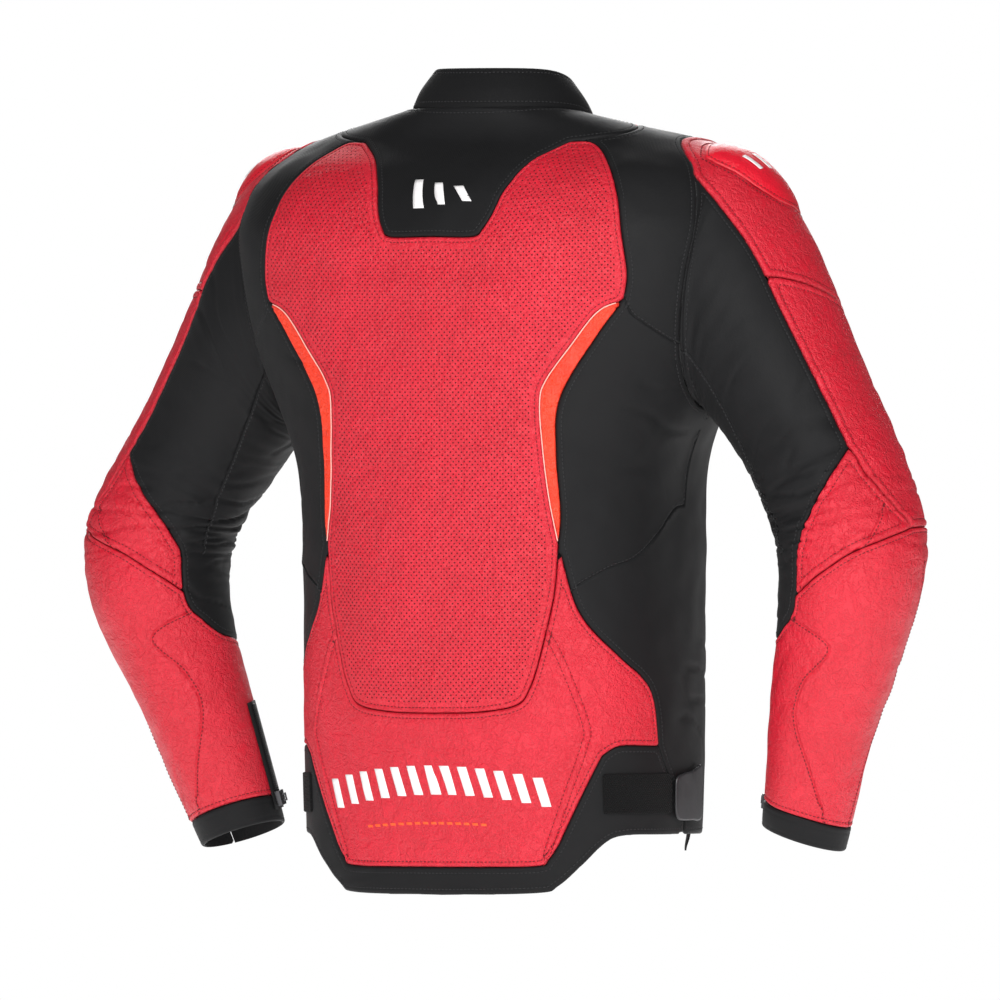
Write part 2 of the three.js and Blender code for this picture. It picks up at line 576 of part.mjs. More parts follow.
const outerArm = sewn(panelSkin(frontEdge, backEdge, crossSeam, elbowSeam), OUTER_COLUMNS);
pair("outer_arm_panel", upper(outerArm), finish.red);
pair("elbow_panel", lower(outerArm), finish.red);

const backArm = sewn(panelSkin(backEdgeAgain, frontEdgeAgain, () => 0, () => GUSSET_END), UNDER_COLUMNS);
pair("under_arm_stretch_panel", upper(backArm), finish.stretch);
pair("elbow_stretch_gusset", lower(backArm), finish.stretch);

const joined = (ring) => (ring > GUSSET_END + ringGap ? backSeam(ring) + degrees(1.2) : backEdge(ring));
const forearmOuter = sewn(panelSkin(frontEdge, joined, elbowSeam, () => CUFF_RING), OUTER_COLUMNS);
const forearmUnder = sewn(panelSkin(backSeam, frontEdgeAgain, () => GUSSET_END, () => CUFF_RING), UNDER_COLUMNS);
pair("forearm_panel", forearmOuter.add(forearmUnder), finish.red);

const ringBand = (rings, columns, outer, inner) => sheet(
  (c, r, out) => sleevePoint(c * 2 * Math.PI, rings[Math.round(r * (rings.length - 1))], out),
  columns, rings.length - 1, outer, inner, true,
);
pair("cuff_band", ringBand([CUFF_RING + ringGap, LAST_RING], 16, 0, -SHELL), finish.stretch);

const liningRings = [0.02, 0.55, 1.15, 1.75, 2.35, 3.85, 4.6, 5.2, 5.8, 6.4, 7, 7.5, 8.1, LAST_RING - 0.15];
const LINING_COLUMNS = 12;
const sleeveLining = ringBand(liningRings, LINING_COLUMNS, liningOut, liningIn);
pair("sleeve_lining_upper", upper(sleeveLining), finish.lining);
pair("sleeve_lining_lower", lower(sleeveLining), finish.lining);

const armourOut = liningIn - PAD_GAP;
// The armour lies on the lining's own columns and rings.
const sleevePad = (firstColumn, columns, firstRing, rows) => sheet(
  (c, r, out) => sleevePoint(
    ((firstColumn + c * columns) * 2 * Math.PI) / LINING_COLUMNS, liningRings[firstRing + Math.round(r * rows)], out,
  ),
  columns, rows, armourOut, armourOut - ARMOUR,
);
pair("shoulder_armour", sleevePad(-1, 3, 2, 2), finish.pad);
pair("elbow_armour", sleevePad(-1, 3, 8, 2), finish.pad);

// The cup covers the middle columns of the shoulder panel.
const CUP_COLUMNS = 5;
const CUP_ROWS = 2;
const cup = sheet(
  (c, r, out) => capSkin.skin((1 + CUP_COLUMNS * c) / OUTER_COLUMNS, (1 + CUP_ROWS * r) / capSkin.rows, out),
  CUP_COLUMNS, CUP_ROWS, CUP_RISE, SEAM_GAP,
);
pair("shoulder_cup", cup, finish.cup);

// ---- Cuff zips ----------------------------------------------------------------------------
{
  const CUFF_ZIP_ANGLE = degrees(186);
  const lift = 1.9;
  const low = sleevePoint(CUFF_ZIP_ANGLE, LAST_RING - 0.12, lift);
  const far = sleevePoint(CUFF_ZIP_ANGLE, LAST_RING - 1.25, lift);
  const up = far.clone().sub(low).normalize();
  const top = low.clone().addScaledVector(up, CUFF_ZIP_LENGTH);
  const normal = sleevePoint(CUFF_ZIP_ANGLE, LAST_RING - 0.6, lift + 10)
    .sub(sleevePoint(CUFF_ZIP_ANGLE, LAST_RING - 0.6, lift)).normalize();
  const out = normal.addScaledVector(up, -normal.dot(up)).normalize();
  pair("cuff_zip", straightZip(top, low, out), finish.zip);
  const [slider] = zipFittings(low.clone().addScaledVector(up, 9), out, up);
  pair("cuff_zip_slider", slider, finish.metal);
}

export default jacket;
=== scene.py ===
# %% [markdown]
# # A leather riding jacket, seen from behind
# The jacket is a shell of sewn panels: red leather, black stretch cloth and two orange strips.
# Its shape comes from a few cross sections, and every panel is cut out of that one surface, as a
# tailor cuts cloth from a block. Lengths are worked out in millimetres and turned into metres
# when a mesh is made.

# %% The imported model
import math
import bpy
import numpy as np
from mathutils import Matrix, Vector, kdtree


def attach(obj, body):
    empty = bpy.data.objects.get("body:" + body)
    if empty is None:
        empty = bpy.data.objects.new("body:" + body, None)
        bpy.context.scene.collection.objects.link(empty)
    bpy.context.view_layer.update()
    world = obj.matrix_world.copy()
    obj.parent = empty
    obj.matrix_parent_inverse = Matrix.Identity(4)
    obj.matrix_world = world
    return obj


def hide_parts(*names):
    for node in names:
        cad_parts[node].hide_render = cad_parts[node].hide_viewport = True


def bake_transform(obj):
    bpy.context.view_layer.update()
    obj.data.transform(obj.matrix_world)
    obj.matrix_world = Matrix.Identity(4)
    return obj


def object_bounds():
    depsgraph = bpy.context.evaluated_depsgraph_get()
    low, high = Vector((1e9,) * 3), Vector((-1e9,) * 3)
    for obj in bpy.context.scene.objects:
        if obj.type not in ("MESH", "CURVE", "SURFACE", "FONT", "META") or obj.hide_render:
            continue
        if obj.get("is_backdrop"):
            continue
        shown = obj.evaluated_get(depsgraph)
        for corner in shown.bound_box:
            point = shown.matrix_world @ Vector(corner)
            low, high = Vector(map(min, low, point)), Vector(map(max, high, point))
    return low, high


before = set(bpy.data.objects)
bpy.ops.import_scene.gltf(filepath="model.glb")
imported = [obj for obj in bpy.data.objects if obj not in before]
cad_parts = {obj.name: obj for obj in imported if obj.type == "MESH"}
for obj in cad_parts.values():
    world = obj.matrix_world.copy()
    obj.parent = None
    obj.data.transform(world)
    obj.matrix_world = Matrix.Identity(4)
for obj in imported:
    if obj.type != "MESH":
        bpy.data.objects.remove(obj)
cad_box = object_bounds()
MM = 0.001
SIDES = (("left", 1), ("right", -1))

# %% [markdown]
# ## Camera
# The jacket hangs facing away, with the wearer's right side turned a little towards us.
# A very long lens from far away keeps both sleeves the same size, the near one and the far one.

# %% Camera
CAMERA_TURN = math.radians(208)
CAMERA_FAR = 24.0
FIELD_WIDE = 0.86
SENSOR = 36
AIM = Vector((0.0038, 0.002, -0.3374))
towards = Vector((math.sin(CAMERA_TURN), -math.cos(CAMERA_TURN), 0))
camera = bpy.data.objects.new("camera", bpy.data.cameras.new("camera"))
camera.location = AIM + towards * CAMERA_FAR
camera.rotation_euler = (-towards).to_track_quat("-Z", "Y").to_euler()
camera.data.sensor_width = SENSOR
camera.data.lens = SENSOR * CAMERA_FAR / FIELD_WIDE
camera.data.clip_end = 100
bpy.context.scene.collection.objects.link(camera)
bpy.context.scene.camera = camera
print("lens", round(camera.data.lens), "mm at", CAMERA_FAR, "m")

# %% [markdown]
# ## The block that the panels are cut from
# A few horizontal sections give the body: how wide and deep it is at a height, and how square
# its corners are. The sleeve is a row of tilted rings. A smooth curve through each column of
# numbers fills in what lies between. This keeps the whole jacket in about thirty short rows.

# %% Sections and rings
DRAFT_LENGTH = 678


def high(h):
    """Height above the end of the tail, as a height in the jacket's frame."""
    return np.asarray(h, float) - DRAFT_LENGTH


def at_height(h):
    return float(high(h))


def sections(rows):
    made = np.array(rows, float)
    made[:, 0] = high(made[:, 0])
    return made


# height, half width, depth behind, middle, squareness, drop at the front
TORSO = sections([
    [-6, 172, 117, 0, 2.5, 0], [70, 174, 123, 0, 2.5, 0], [170, 174, 132, 0, 2.5, 0],
    [290, 173, 136, 0, 2.5, 0], [385, 183, 138, 0, 2.5, 0], [420, 198, 138, -2, 2.5, 0],
    [475, 222, 138, -5, 2.6, 0], [530, 237, 138, -8, 2.7, 0], [585, 240, 131, -12, 2.7, 0],
    [625, 222, 106, -15, 2.5, 4], [650, 184, 78, -18, 2.3, 12], [665, 130, 72, -4, 2.2, 26],
    [678, 80, 72, 0, 2.1, 46],
])
COLLAR = sections([
    [678.6, 80, 72, 0, 2.1, 46], [693, 73, 68, 0, 2.1, 44], [706, 63, 61, 0, 2.1, 42],
    [713, 57, 57, 0, 2.1, 41],
])
ARMHOLE = sections([[414, 197], [475, 206], [530, 215], [585, 221], [625, 206], [652, 176]])
# outer edge (x, h), inner edge (x, h), middle, half depth
SLEEVE = np.array([
    [234, 629, 200, 413, -12, 84], [273, 577, 205, 406, -15, 82], [304, 512, 213, 396, -15, 77],
    [343, 435, 235, 367, -12, 70], [378, 370, 260, 328, -4, 66], [402, 308, 272, 298, 3, 64.5],
    [396, 258, 276, 268, 5, 61], [373, 198, 271, 228, 0, 53], [343, 129, 256, 158, -12, 46],
    [308, 38, 237, 62, -32, 37],
], float)
SLEEVE[:, [1, 3]] = high(SLEEVE[:, [1, 3]])
LAST_RING = len(SLEEVE)


def unit(v):
    return v / np.linalg.norm(v, axis=-1, keepdims=True)


def lengths(line):
    """How far along a line each of its points is."""
    return np.concatenate([[0], np.cumsum(np.linalg.norm(np.diff(line, axis=0), axis=1))])


def hermite(t, start, leave, end, arrive, span=1.0):
    """The curve from start to end that has the given slope at each."""
    return ((2 * t**3 - 3 * t**2 + 1) * start + (t**3 - 2 * t**2 + t) * span * leave
            + (3 * t**2 - 2 * t**3) * end + (t**3 - t**2) * span * arrive)


def smooth(rows, key):
    """A smooth curve through rows of [key, values], read at one or many keys."""
    keys, values = rows[:, 0], rows[:, 1:]
    gap = np.diff(keys)
    rise = np.diff(values, axis=0) / gap[:, None]
    inner = (rise[:-1] * gap[1:, None] + rise[1:] * gap[:-1, None]) / (gap[1:] + gap[:-1])[:, None]
    slope = np.vstack([rise[:1], inner, rise[-1:]])
    at = np.clip(np.asarray(key, float), keys[0], keys[-1])
    i = np.clip(np.searchsorted(keys, at) - 1, 0, len(keys) - 2)
    t = ((at - keys[i]) / gap[i])[..., None]
    return hermite(t, values[i], slope[i], values[i + 1], slope[i + 1], gap[i][..., None])


# %% The two surfaces
ZIP_PIVOT = np.array([1118.07, -426.71])
ZIP_RADIUS = 1250


def front_line(z):
    return ZIP_PIVOT[0] - np.sqrt(ZIP_RADIUS**2 - (z - ZIP_PIVOT[1]) ** 2)


def body_at(angle, z, rows=TORSO):
    """The body's surface. Angle 0 is the middle of the back, a quarter turn the wearer's left."""
    half, back, middle, square, drop = np.moveaxis(smooth(rows, z), -1, 0)
    sin, cos = np.sin(angle), np.cos(angle)
    depth = np.where(cos > 0, back - middle, middle - front_line(z - drop))
    x = half * np.sign(sin) * np.abs(sin) ** (2 / square)
    y = middle + depth * np.sign(cos) * np.abs(cos) ** (2 / square)
    return np.stack([x, y, z - drop * ((1 - cos) / 2) ** 3], -1)


def collar_at(angle, z):
    return body_at(angle, z, COLLAR)


def body_angle(x, z, behind=True):
    """The angle at which the body's surface is x from the middle."""
    half, _, _, square, _ = np.moveaxis(smooth(TORSO, z), -1, 0)
    angle = np.arcsin(np.clip(np.abs(x) / half, 0, 1) ** (square / 2))
    return np.sign(x) * np.where(behind, angle, np.pi - angle)


ARMHOLE_MIDDLE = (ARMHOLE[0, 0] + ARMHOLE[-1, 0]) / 2
ARMHOLE_REACH = ARMHOLE[-1, 0] - ARMHOLE_MIDDLE
# The armhole is straight over its very top and its very bottom, within this angle.
SHORT_TURN = 0.18


def armhole_depth(angle):
    """How far forward or back the armhole's edge lies."""
    z = ARMHOLE_MIDDLE + ARMHOLE_REACH * np.cos(angle)
    x = smooth(ARMHOLE, z)[..., 0]
    half, back, middle, square, drop = np.moveaxis(smooth(TORSO, z), -1, 0)
    depth = np.where(np.sin(angle) > 0, back - middle, front_line(z - drop) - middle)
    return middle + depth * np.maximum(0, 1 - (x / half) ** square) ** (1 / square)


def armhole_at(angle):
    z = ARMHOLE_MIDDLE + ARMHOLE_REACH * np.cos(angle)
    pole = np.round(angle / np.pi) * np.pi
    share = np.clip((angle - pole + SHORT_TURN) / (2 * SHORT_TURN), 0, 1)
    before, after = armhole_depth(pole - SHORT_TURN), armhole_depth(pole + SHORT_TURN)
    near = np.abs(angle - pole) < SHORT_TURN
    y = np.where(near, before + (after - before) * share, armhole_depth(angle))
    return np.stack([smooth(ARMHOLE, z)[..., 0], y, z], -1)


def sleeve_at(angle, ring):
    """The left sleeve. Angle 0 is its outer edge, a quarter turn its back, ring 0 the armhole."""
    angle, ring = np.broadcast_arrays(np.asarray(angle, float), np.asarray(ring, float))
    cos, sin = np.cos(angle)[..., None], np.sin(angle)[..., None]
    ox, oz, ix, iz, y, deep = SLEEVE.T
    x = (ox + ix + (ox - ix) * cos) / 2
    z = (oz + iz + (oz - iz) * cos) / 2
    rings = np.concatenate([armhole_at(angle)[..., None, :], np.stack([x, y + deep * sin, z], -1)], -2)
    rise = np.diff(rings, axis=-2)
    inner = (rise[..., 1:, :] + rise[..., :-1, :]) / 2
    slope = np.concatenate([rise[..., :1, :], inner, rise[..., -1:, :]], -2)
    at = np.clip(ring, 0, LAST_RING)
    i = np.clip(np.ceil(at).astype(int) - 1, 0, LAST_RING - 1)
    t = (at - i)[..., None]
    pick = lambda a, k: np.take_along_axis(a, k[..., None, None], -2)[..., 0, :]
    return hermite(t, pick(rings, i), pick(slope, i), pick(rings, i + 1), pick(slope, i + 1))


def outwards(surface, a, b, step=(0.01, 0.01)):
    """Unit normals of a surface, pointing away from the wearer."""
    da, db = step
    along = surface(a, b + db) - surface(a, b - db)
    around = surface(a + da, b) - surface(a - da, b)
    n = np.cross(along, around)
    return n / np.maximum(np.linalg.norm(n, axis=-1, keepdims=True), 1e-9)


BODY_STEP, SLEEVE_STEP = (0.01, 1.0), (0.01, 0.01)
print("neck", body_at(0.0, high(678)), "cuff", sleeve_at(0.0, 10.0))

# %% [markdown]
# ## A few lines of shader arithmetic
# Leather and cloth are patterns added to patterns, so it helps to write them as sums. A `Wire`
# wraps a node's output, and each operator on it adds one Math node. `Finish.node` makes every
# other node: its type, its settings, then the values or wires of its sockets.

# %% Wires and finishes
class Wire:
    def __init__(self, finish, socket):
        self.finish, self.socket = finish, socket

    def math(self, operation, first, second):
        return self.finish.node("ShaderNodeMath", {"operation": operation}, {0: first, 1: second})

    def __add__(self, other):
        return self.math("ADD", self, other)

    def __sub__(self, other):
        return self.math("SUBTRACT", self, other)

    def __rsub__(self, other):
        return self.math("SUBTRACT", other, self)

    def __mul__(self, other):
        return self.math("MULTIPLY", self, other)

    __radd__, __rmul__ = __add__, __mul__


class Finish:
    """A material and the one method that adds nodes to it."""

    def __init__(self, name):
        self.material = bpy.data.materials.new(name)
        self.material.use_nodes = True
        self.tree = self.material.node_tree
        self.shader = self.tree.nodes["Principled BSDF"]

    def node(self, kind, settings=None, inputs=None, output=0):
        made = self.tree.nodes.new(kind)
        for key, value in (settings or {}).items():
            setattr(made, key, value)
        for key, value in (inputs or {}).items():
            self.plug(made.inputs[key], value)
        return Wire(self, made.outputs[output])

    def plug(self, socket, value):
        if isinstance(value, Wire):
            self.tree.links.new(value.socket, socket)
        else:
            socket.default_value = value

    def set(self, **values):
        for key, value in values.items():
            self.plug(self.shader.inputs[key.replace("_", " ")], value)
        return self.material

    def place(self):
        return self.node("ShaderNodeTexCoord", output="Object")

    def noise(self, scale, detail=3.0, rough=0.5, where=None):
        return self.node("ShaderNodeTexNoise", None, {
            "Vector": where or self.place(), "Scale": scale, "Detail": detail, "Roughness": rough})

    def cells(self, scale, where=None):
        return self.node("ShaderNodeTexVoronoi", {"feature": "F1"}, {
            "Vector": where or self.place(), "Scale": scale})

    def ramp(self, value, low, high, to_low=0.0, to_high=1.0):
        """Passes a value from one range to another, easing in and out."""
        return self.node("ShaderNodeMapRange", {"interpolation_type": "SMOOTHSTEP"}, {
            "Value": value, "From Min": low, "From Max": high, "To Min": to_low, "To Max": to_high})

    def mix(self, share, first, second):
        made = self.tree.nodes.new("ShaderNodeMix")
        made.data_type = "RGBA"
        for place, value in zip((0, 6, 7), (share, first, second)):
            self.plug(made.inputs[place], value)
        return Wire(self, made.outputs[2])

    def bump(self, height, distance, strength=1.0):
        return self.node("ShaderNodeBump", None, {
            "Height": height, "Distance": distance, "Strength": strength})

    def edge(self):
        return self.node("ShaderNodeAttribute", {"attribute_name": "edge"}, output="Fac")


# %% [markdown]
# ## Leather
# Cowhide for riding is grained: small pebbles with fine creases between them. It takes the dye a
# little unevenly. A Voronoi pattern gives the pebbles and a painted shade in the creases between
# them, two sizes of noise the uneven dye, and the distance to the seam a painted shade that darkens
# the rolled edge. Noise folded about its middle draws the furrows and the pores.

# %% Leather finishes
def leather(name, colour, deep, pale, rough=0.44, grain=0.00022):
    f = Finish(name)
    pebbles = f.cells(760)
    fine = f.noise(1500, 2)
    cloud = f.ramp(f.noise(16, 5, 0.62), 0.34, 0.68)
    patch = f.ramp(f.noise(75, 4, 0.6), 0.36, 0.7)
    dye_and_shade = f.mix(cloud * 0.6, colour, pale)
    dye_and_shade = f.mix(patch * 0.10, dye_and_shade, deep)
    # painted shade: darker in the creases between the pebbles, where the bump sinks
    dye_and_shade = f.mix(f.ramp(pebbles, 0.25, 0.62) * 0.3, dye_and_shade, deep)
    # painted shade: darker towards the seam, over the edge that rolls down into it
    dye_and_shade = f.mix(f.ramp(f.edge(), 0.2, 1.6, 0.7, 0.0), dye_and_shade, deep)
    furrow = f.node("ShaderNodeMath", {"operation": "ABSOLUTE"}, {0: f.noise(95, 5, 0.62) - 0.5})
    pore = f.node("ShaderNodeMath", {"operation": "ABSOLUTE"}, {0: f.noise(420, 3, 0.6) - 0.5})
    height = pebbles * -0.5 + fine * 0.25 + pore * 2.2 + f.ramp(furrow, 0.0, 0.10) * 1.0
    return f.set(
        Base_Color=dye_and_shade, Roughness=f.ramp(patch, 0, 1, rough, rough + 0.1) + pebbles * 0.06,
        Normal=f.bump(height, grain * 3, 0.9), Specular_IOR_Level=0.62)


RED, RED_DEEP, RED_PALE = (0.66, 0.0012, 0.020, 1), (0.38, 0.0005, 0.010, 1), (0.76, 0.004, 0.030, 1)
red_leather = leather("red_leather", RED, RED_DEEP, RED_PALE)
orange_leather = leather("orange_leather", (0.95, 0.034, 0.002, 1), (0.6, 0.012, 0.001, 1),
                         (1, 0.06, 0.005, 1), 0.4)
cup_red = leather("moulded_red", (0.74, 0.0015, 0.02, 1), (0.5, 0.0006, 0.01, 1),
                  (0.84, 0.004, 0.03, 1), 0.36, 0.00008)

# %% [markdown]
# ## Stretch cloth, lining and trims
# The black panels are a dense knit with fine ribs. Two crossed sine waves at the yarn's pitch
# give the weave its bump, and a weak sheen gives the soft bloom of synthetic yarn.

# %% Cloth finishes
def cloth(name, colour, pitch, rough, depth, sheen=0.03, bloom=1.6):
    f = Finish(name)
    spot = f.place()
    warp = f.node("ShaderNodeTexWave", {"wave_type": "BANDS", "bands_direction": "DIAGONAL"}, {
        "Vector": spot, "Scale": 0.32 / pitch, "Distortion": 0.6, "Detail": 1.0})
    weft = f.node("ShaderNodeTexWave", {"wave_type": "BANDS", "bands_direction": "Z"}, {
        "Vector": spot, "Scale": 0.32 / pitch, "Distortion": 0.5, "Detail": 1.0})
    haze = f.ramp(f.noise(14, 4, 0.6, spot), 0.3, 0.75)
    light = tuple(min(1, c * bloom) for c in colour[:3]) + (1,)
    shade = f.mix(haze * 0.6 + warp * weft * 0.3, colour, light)
    height = warp * 0.5 + weft * 0.5 + f.noise(1700, 2, 0.5, spot) * 0.6
    return f.set(Base_Color=shade, Roughness=f.ramp(haze, 0, 1, rough - 0.06, rough + 0.05),
                 Normal=f.bump(height, depth, 0.7), Sheen_Weight=sheen, Sheen_Roughness=0.5,
                 Specular_IOR_Level=0.22)


stretch_black = cloth("stretch_black", (0.0042, 0.0042, 0.0047, 1), 0.0009, 0.66, 0.00016)
collar_black = cloth("collar_black", (0.0034, 0.0034, 0.0038, 1), 0.0012, 0.8, 0.0001, 0.02)
lining_black = cloth("lining_mesh", (0.012, 0.012, 0.013, 1), 0.0022, 0.7, 0.0005, 0.1)
zip_tape = cloth("zip_tape", (0.007, 0.007, 0.0075, 1), 0.0011, 0.8, 0.00018, 0.05)
loop_pile = cloth("loop_pile", (0.0015, 0.0015, 0.0016, 1), 0.0016, 0.95, 0.0012, 0.02, 4.0)
armour_foam = cloth("armour_foam", (0.02, 0.021, 0.023, 1), 0.004, 0.85, 0.0006, 0.0)


def moulded(name, colour, rough, scale=900, depth=0.00008, metal=0.0, worn=1.4):
    f = Finish(name)
    wear = f.ramp(f.noise(60, 5, 0.65), 0.35, 0.7)
    light = tuple(min(1, c * worn) for c in colour[:3]) + (1,)
    return f.set(Base_Color=f.mix(wear, colour, light), Roughness=f.ramp(wear, 0, 1, rough, rough + 0.14),
                 Metallic=metal, Normal=f.bump(f.noise(scale, 4, 0.6), depth, 0.6))


tab_rubber = moulded("tab_rubber", (0.022, 0.021, 0.023, 1), 0.36)
zip_teeth_black = moulded("zip_teeth_black", (0.012, 0.012, 0.013, 1), 0.34)
zip_metal = moulded("zip_metal", (0.085, 0.085, 0.09, 1), 0.3, 1400, 0.00005, 1.0)
pale_print = moulded("pale_print", (0.82, 0.80, 0.80, 1), 0.45, 800, 0.00008, 0, 1.1)
orange_print = moulded("orange_print", (0.9, 0.09, 0.012, 1), 0.5, 800, 0.00008, 0, 1.1)
red_thread = moulded("red_thread", (0.13, 0.0008, 0.005, 1), 0.6, 2500, 0.0001)
black_thread = moulded("black_thread", (0.011, 0.011, 0.012, 1), 0.7, 2500, 0.0001)
# painted shade: the dark colour of the discs that stand for the punched holes
hole_dark = moulded("hole_dark", (0.05, 0.001, 0.003, 1), 0.9)
piping_pale = moulded("piping_pale", (0.86, 0.42, 0.36, 1), 0.5, 1200, 0.0001, 0, 1.08)
print("finishes", len(bpy.data.materials))

# %% [markdown]
# ## Cutting cloth
# Each surface is first covered by a plain grid of triangles. A seam is a line of points on the
# surface. For every grid point we measure how far it is from the nearest seam, and then split
# the triangles exactly where that distance passes a chosen value. The same splitting gives a
# panel its clean edge and the fine rows along it that a rolled edge and a line of stitches need.

# %% Grids and splitting
CELL = 3.4


def even(line, low, top, cell):
    """Values between low and top that are evenly spaced along a line in space."""
    fine = np.linspace(low, top, 2001)
    p = line(fine)
    length = lengths(p)
    count = max(2, round(length[-1] / cell))
    return np.interp(np.linspace(0, length[-1], count + 1), length, fine)


def grid(a_values, b_values):
    """Points (a, b) and triangles over a rectangle of pattern coordinates."""
    a, b = np.meshgrid(a_values, b_values)
    points = np.stack([a.ravel(), b.ravel()], 1)
    wide = len(a_values)
    r, c = np.meshgrid(np.arange(len(b_values) - 1), np.arange(wide - 1), indexing="ij")
    i = (r * wide + c).ravel()
    flip = ((r + c) % 2).ravel().astype(bool)[:, None]
    one = np.where(flip, np.stack([i, i + 1, i + wide], 1), np.stack([i, i + 1, i + wide + 1], 1))
    two = np.where(flip, np.stack([i + 1, i + wide + 1, i + wide], 1),
                   np.stack([i, i + wide + 1, i + wide], 1))
    return points, np.vstack([one, two])[:, ::-1]


def split(points, tri, column, level, snap=0.22, near=1e9):
    """Splits triangles where a column of the points passes a level."""
    f = points[:, column] - level
    s = np.where(np.abs(f) < snap, 0, np.sign(f)).astype(int)
    st = s[tri]
    crossing = (st.min(1) < 0) & (st.max(1) > 0) & (np.abs(f[tri]).max(1) < near)
    cut, sc = tri[crossing], st[crossing]
    if not len(cut):
        return points, tri
    has_zero = (sc == 0).any(1)
    total = sc.sum(1)
    first = np.where(has_zero, np.argmax(sc == 0, 1), np.argmax(sc == -np.sign(total)[:, None], 1))
    turn = (first[:, None] + np.arange(3)) % 3
    cut = np.take_along_axis(cut, turn, 1)
    zero, plain = cut[has_zero], cut[~has_zero]
    pairs = np.vstack([zero[:, [1, 2]], plain[:, [0, 1]], plain[:, [0, 2]]])
    lo, hi = pairs.min(1), pairs.max(1)
    key, back = np.unique(lo * len(points) + hi, return_inverse=True)
    ia, ib = key // len(points), key % len(points)
    t = (f[ia] / (f[ia] - f[ib]))[:, None]
    new = points[ia] + t * (points[ib] - points[ia])
    new[:, column] = level
    back = back + len(points)
    mz, m1, m2 = np.split(back, [len(zero), len(zero) + len(plain)])
    made = [tri[~crossing],
            np.stack([zero[:, 0], zero[:, 1], mz], 1), np.stack([zero[:, 0], mz, zero[:, 2]], 1),
            np.stack([plain[:, 0], m1, m2], 1), np.stack([m1, plain[:, 1], plain[:, 2]], 1),
            np.stack([m1, plain[:, 2], m2], 1)]
    return np.vstack([points, new]), np.vstack(made)


def keep(points, tri, chosen):
    """The chosen triangles and only the points that they use."""
    tri = tri[chosen]
    used = np.unique(tri)
    place = np.full(len(points), -1)
    place[used] = np.arange(len(used))
    return points[used], place[tri]


# %% Distances to seams
def curved(points, step=1.2, loop=False):
    """A smooth line through points, as closely spaced points."""
    p = np.array(points, float)
    ends = (p[-1], p[0]) if loop else (2 * p[0] - p[1], 2 * p[-1] - p[-2])
    q = np.vstack([ends[0], p, ends[1]] + ([p[1]] if loop else []))
    made = []
    for i in range(1, len(q) - 2):
        a, b, c, d = q[i - 1:i + 3]
        t = np.linspace(0, 1, max(2, math.ceil(np.linalg.norm(c - b) / step)), endpoint=False)[:, None]
        made.append(0.5 * (2 * b + (c - a) * t + (2 * a - 5 * b + 4 * c - d) * t**2
                           + (3 * b - a - 3 * c + d) * t**3))
    made.append(p[:1] if loop else p[-1:])
    return np.vstack(made)


class Lines:
    """Polylines in space that answer how far points are from them."""

    def __init__(self, lines):
        self.lines = [l for l in lines if len(l) > 1]
        self.a = np.vstack([l[:-1] for l in self.lines])
        self.b = np.vstack([l[1:] for l in self.lines])
        self.tree = kdtree.KDTree(len(self.a))
        for i, m in enumerate((self.a + self.b) / 2):
            self.tree.insert(m, i)
        self.tree.balance()

    def nearest(self, p):
        """For each point: the distance and the index of the nearest stretch."""
        near = np.array([self.tree.find(v)[1] for v in p])
        best, which = np.full(len(p), 1e9), near.copy()
        for shift in (-1, 0, 1):
            i = np.clip(near + shift, 0, len(self.a) - 1)
            ab = self.b[i] - self.a[i]
            t = np.clip(((p - self.a[i]) * ab).sum(1) / np.maximum((ab * ab).sum(1), 1e-9), 0, 1)
            d = np.linalg.norm(p - self.a[i] - t[:, None] * ab, axis=1)
            which = np.where(d < best, i, which)
            best = np.minimum(best, d)
        return best, which

    def distance(self, p):
        return self.nearest(p)[0]

    def signed(self, p, normals):
        """Distance with a sign: positive on the left of the line as seen from outside."""
        d, i = self.nearest(p)
        side = (np.cross(normals, self.b[i] - self.a[i]) * (p - self.a[i])).sum(1)
        return d * np.where(side >= 0, 1, -1)


def inside(x, z, outline):
    """Whether points are inside a closed outline."""
    hit = np.zeros(len(x), bool)
    a, b = outline, np.roll(outline, -1, 0)
    for (x0, z0), (x1, z1) in zip(a, b):
        if z0 != z1:
            spans = (z0 > z) != (z1 > z)
            hit ^= spans & (x < (x1 - x0) * (z - z0) / (z1 - z0) + x0)
    return hit


# %% Meshes
def mesh_object(name, points, faces, columns=None):
    mesh = bpy.data.meshes.new(name)
    mesh.from_pydata((np.asarray(points) * MM).tolist(), [], [list(map(int, f)) for f in faces])
    mesh.validate()
    mesh.shade_smooth()
    for key, values in (columns or {}).items():
        if len(values) == len(mesh.vertices):
            column = mesh.attributes.new(key, "FLOAT", "POINT").data
            column.foreach_set("value", np.asarray(values, np.float32))
    made = bpy.data.objects.new(name, mesh)
    bpy.context.scene.collection.objects.link(made)
    return made


def edges_of(tri):
    return np.vstack([tri[:, [0, 1]], tri[:, [1, 2]], tri[:, [2, 0]]])


def closed_faces(tri, count):
    """Faces of a closed sheet: the outer skin, the inner skin and the rim between them."""
    edges = edges_of(tri).astype(np.int64)
    forward, backward = edges[:, 0] * count + edges[:, 1], edges[:, 1] * count + edges[:, 0]
    a, b = edges[~np.isin(forward, backward)].T
    return np.vstack([tri, tri[:, ::-1] + count, np.stack([b, a, a + count], 1),
                      np.stack([b, a + count, b + count], 1)])


def thick(name, outer, inner, tri, columns=None):
    """A closed sheet between two layers of points that share their triangles."""
    doubled = {k: np.concatenate([v, v]) for k, v in (columns or {}).items()}
    return mesh_object(name, np.vstack([outer, inner]), closed_faces(tri, len(outer)), doubled)


# %% [markdown]
# ## Seams of the body
# The outlines below are the pattern: x from the middle and height above the tail, for one half.
# Each is drawn as a smooth line between its corners and laid onto the surface.

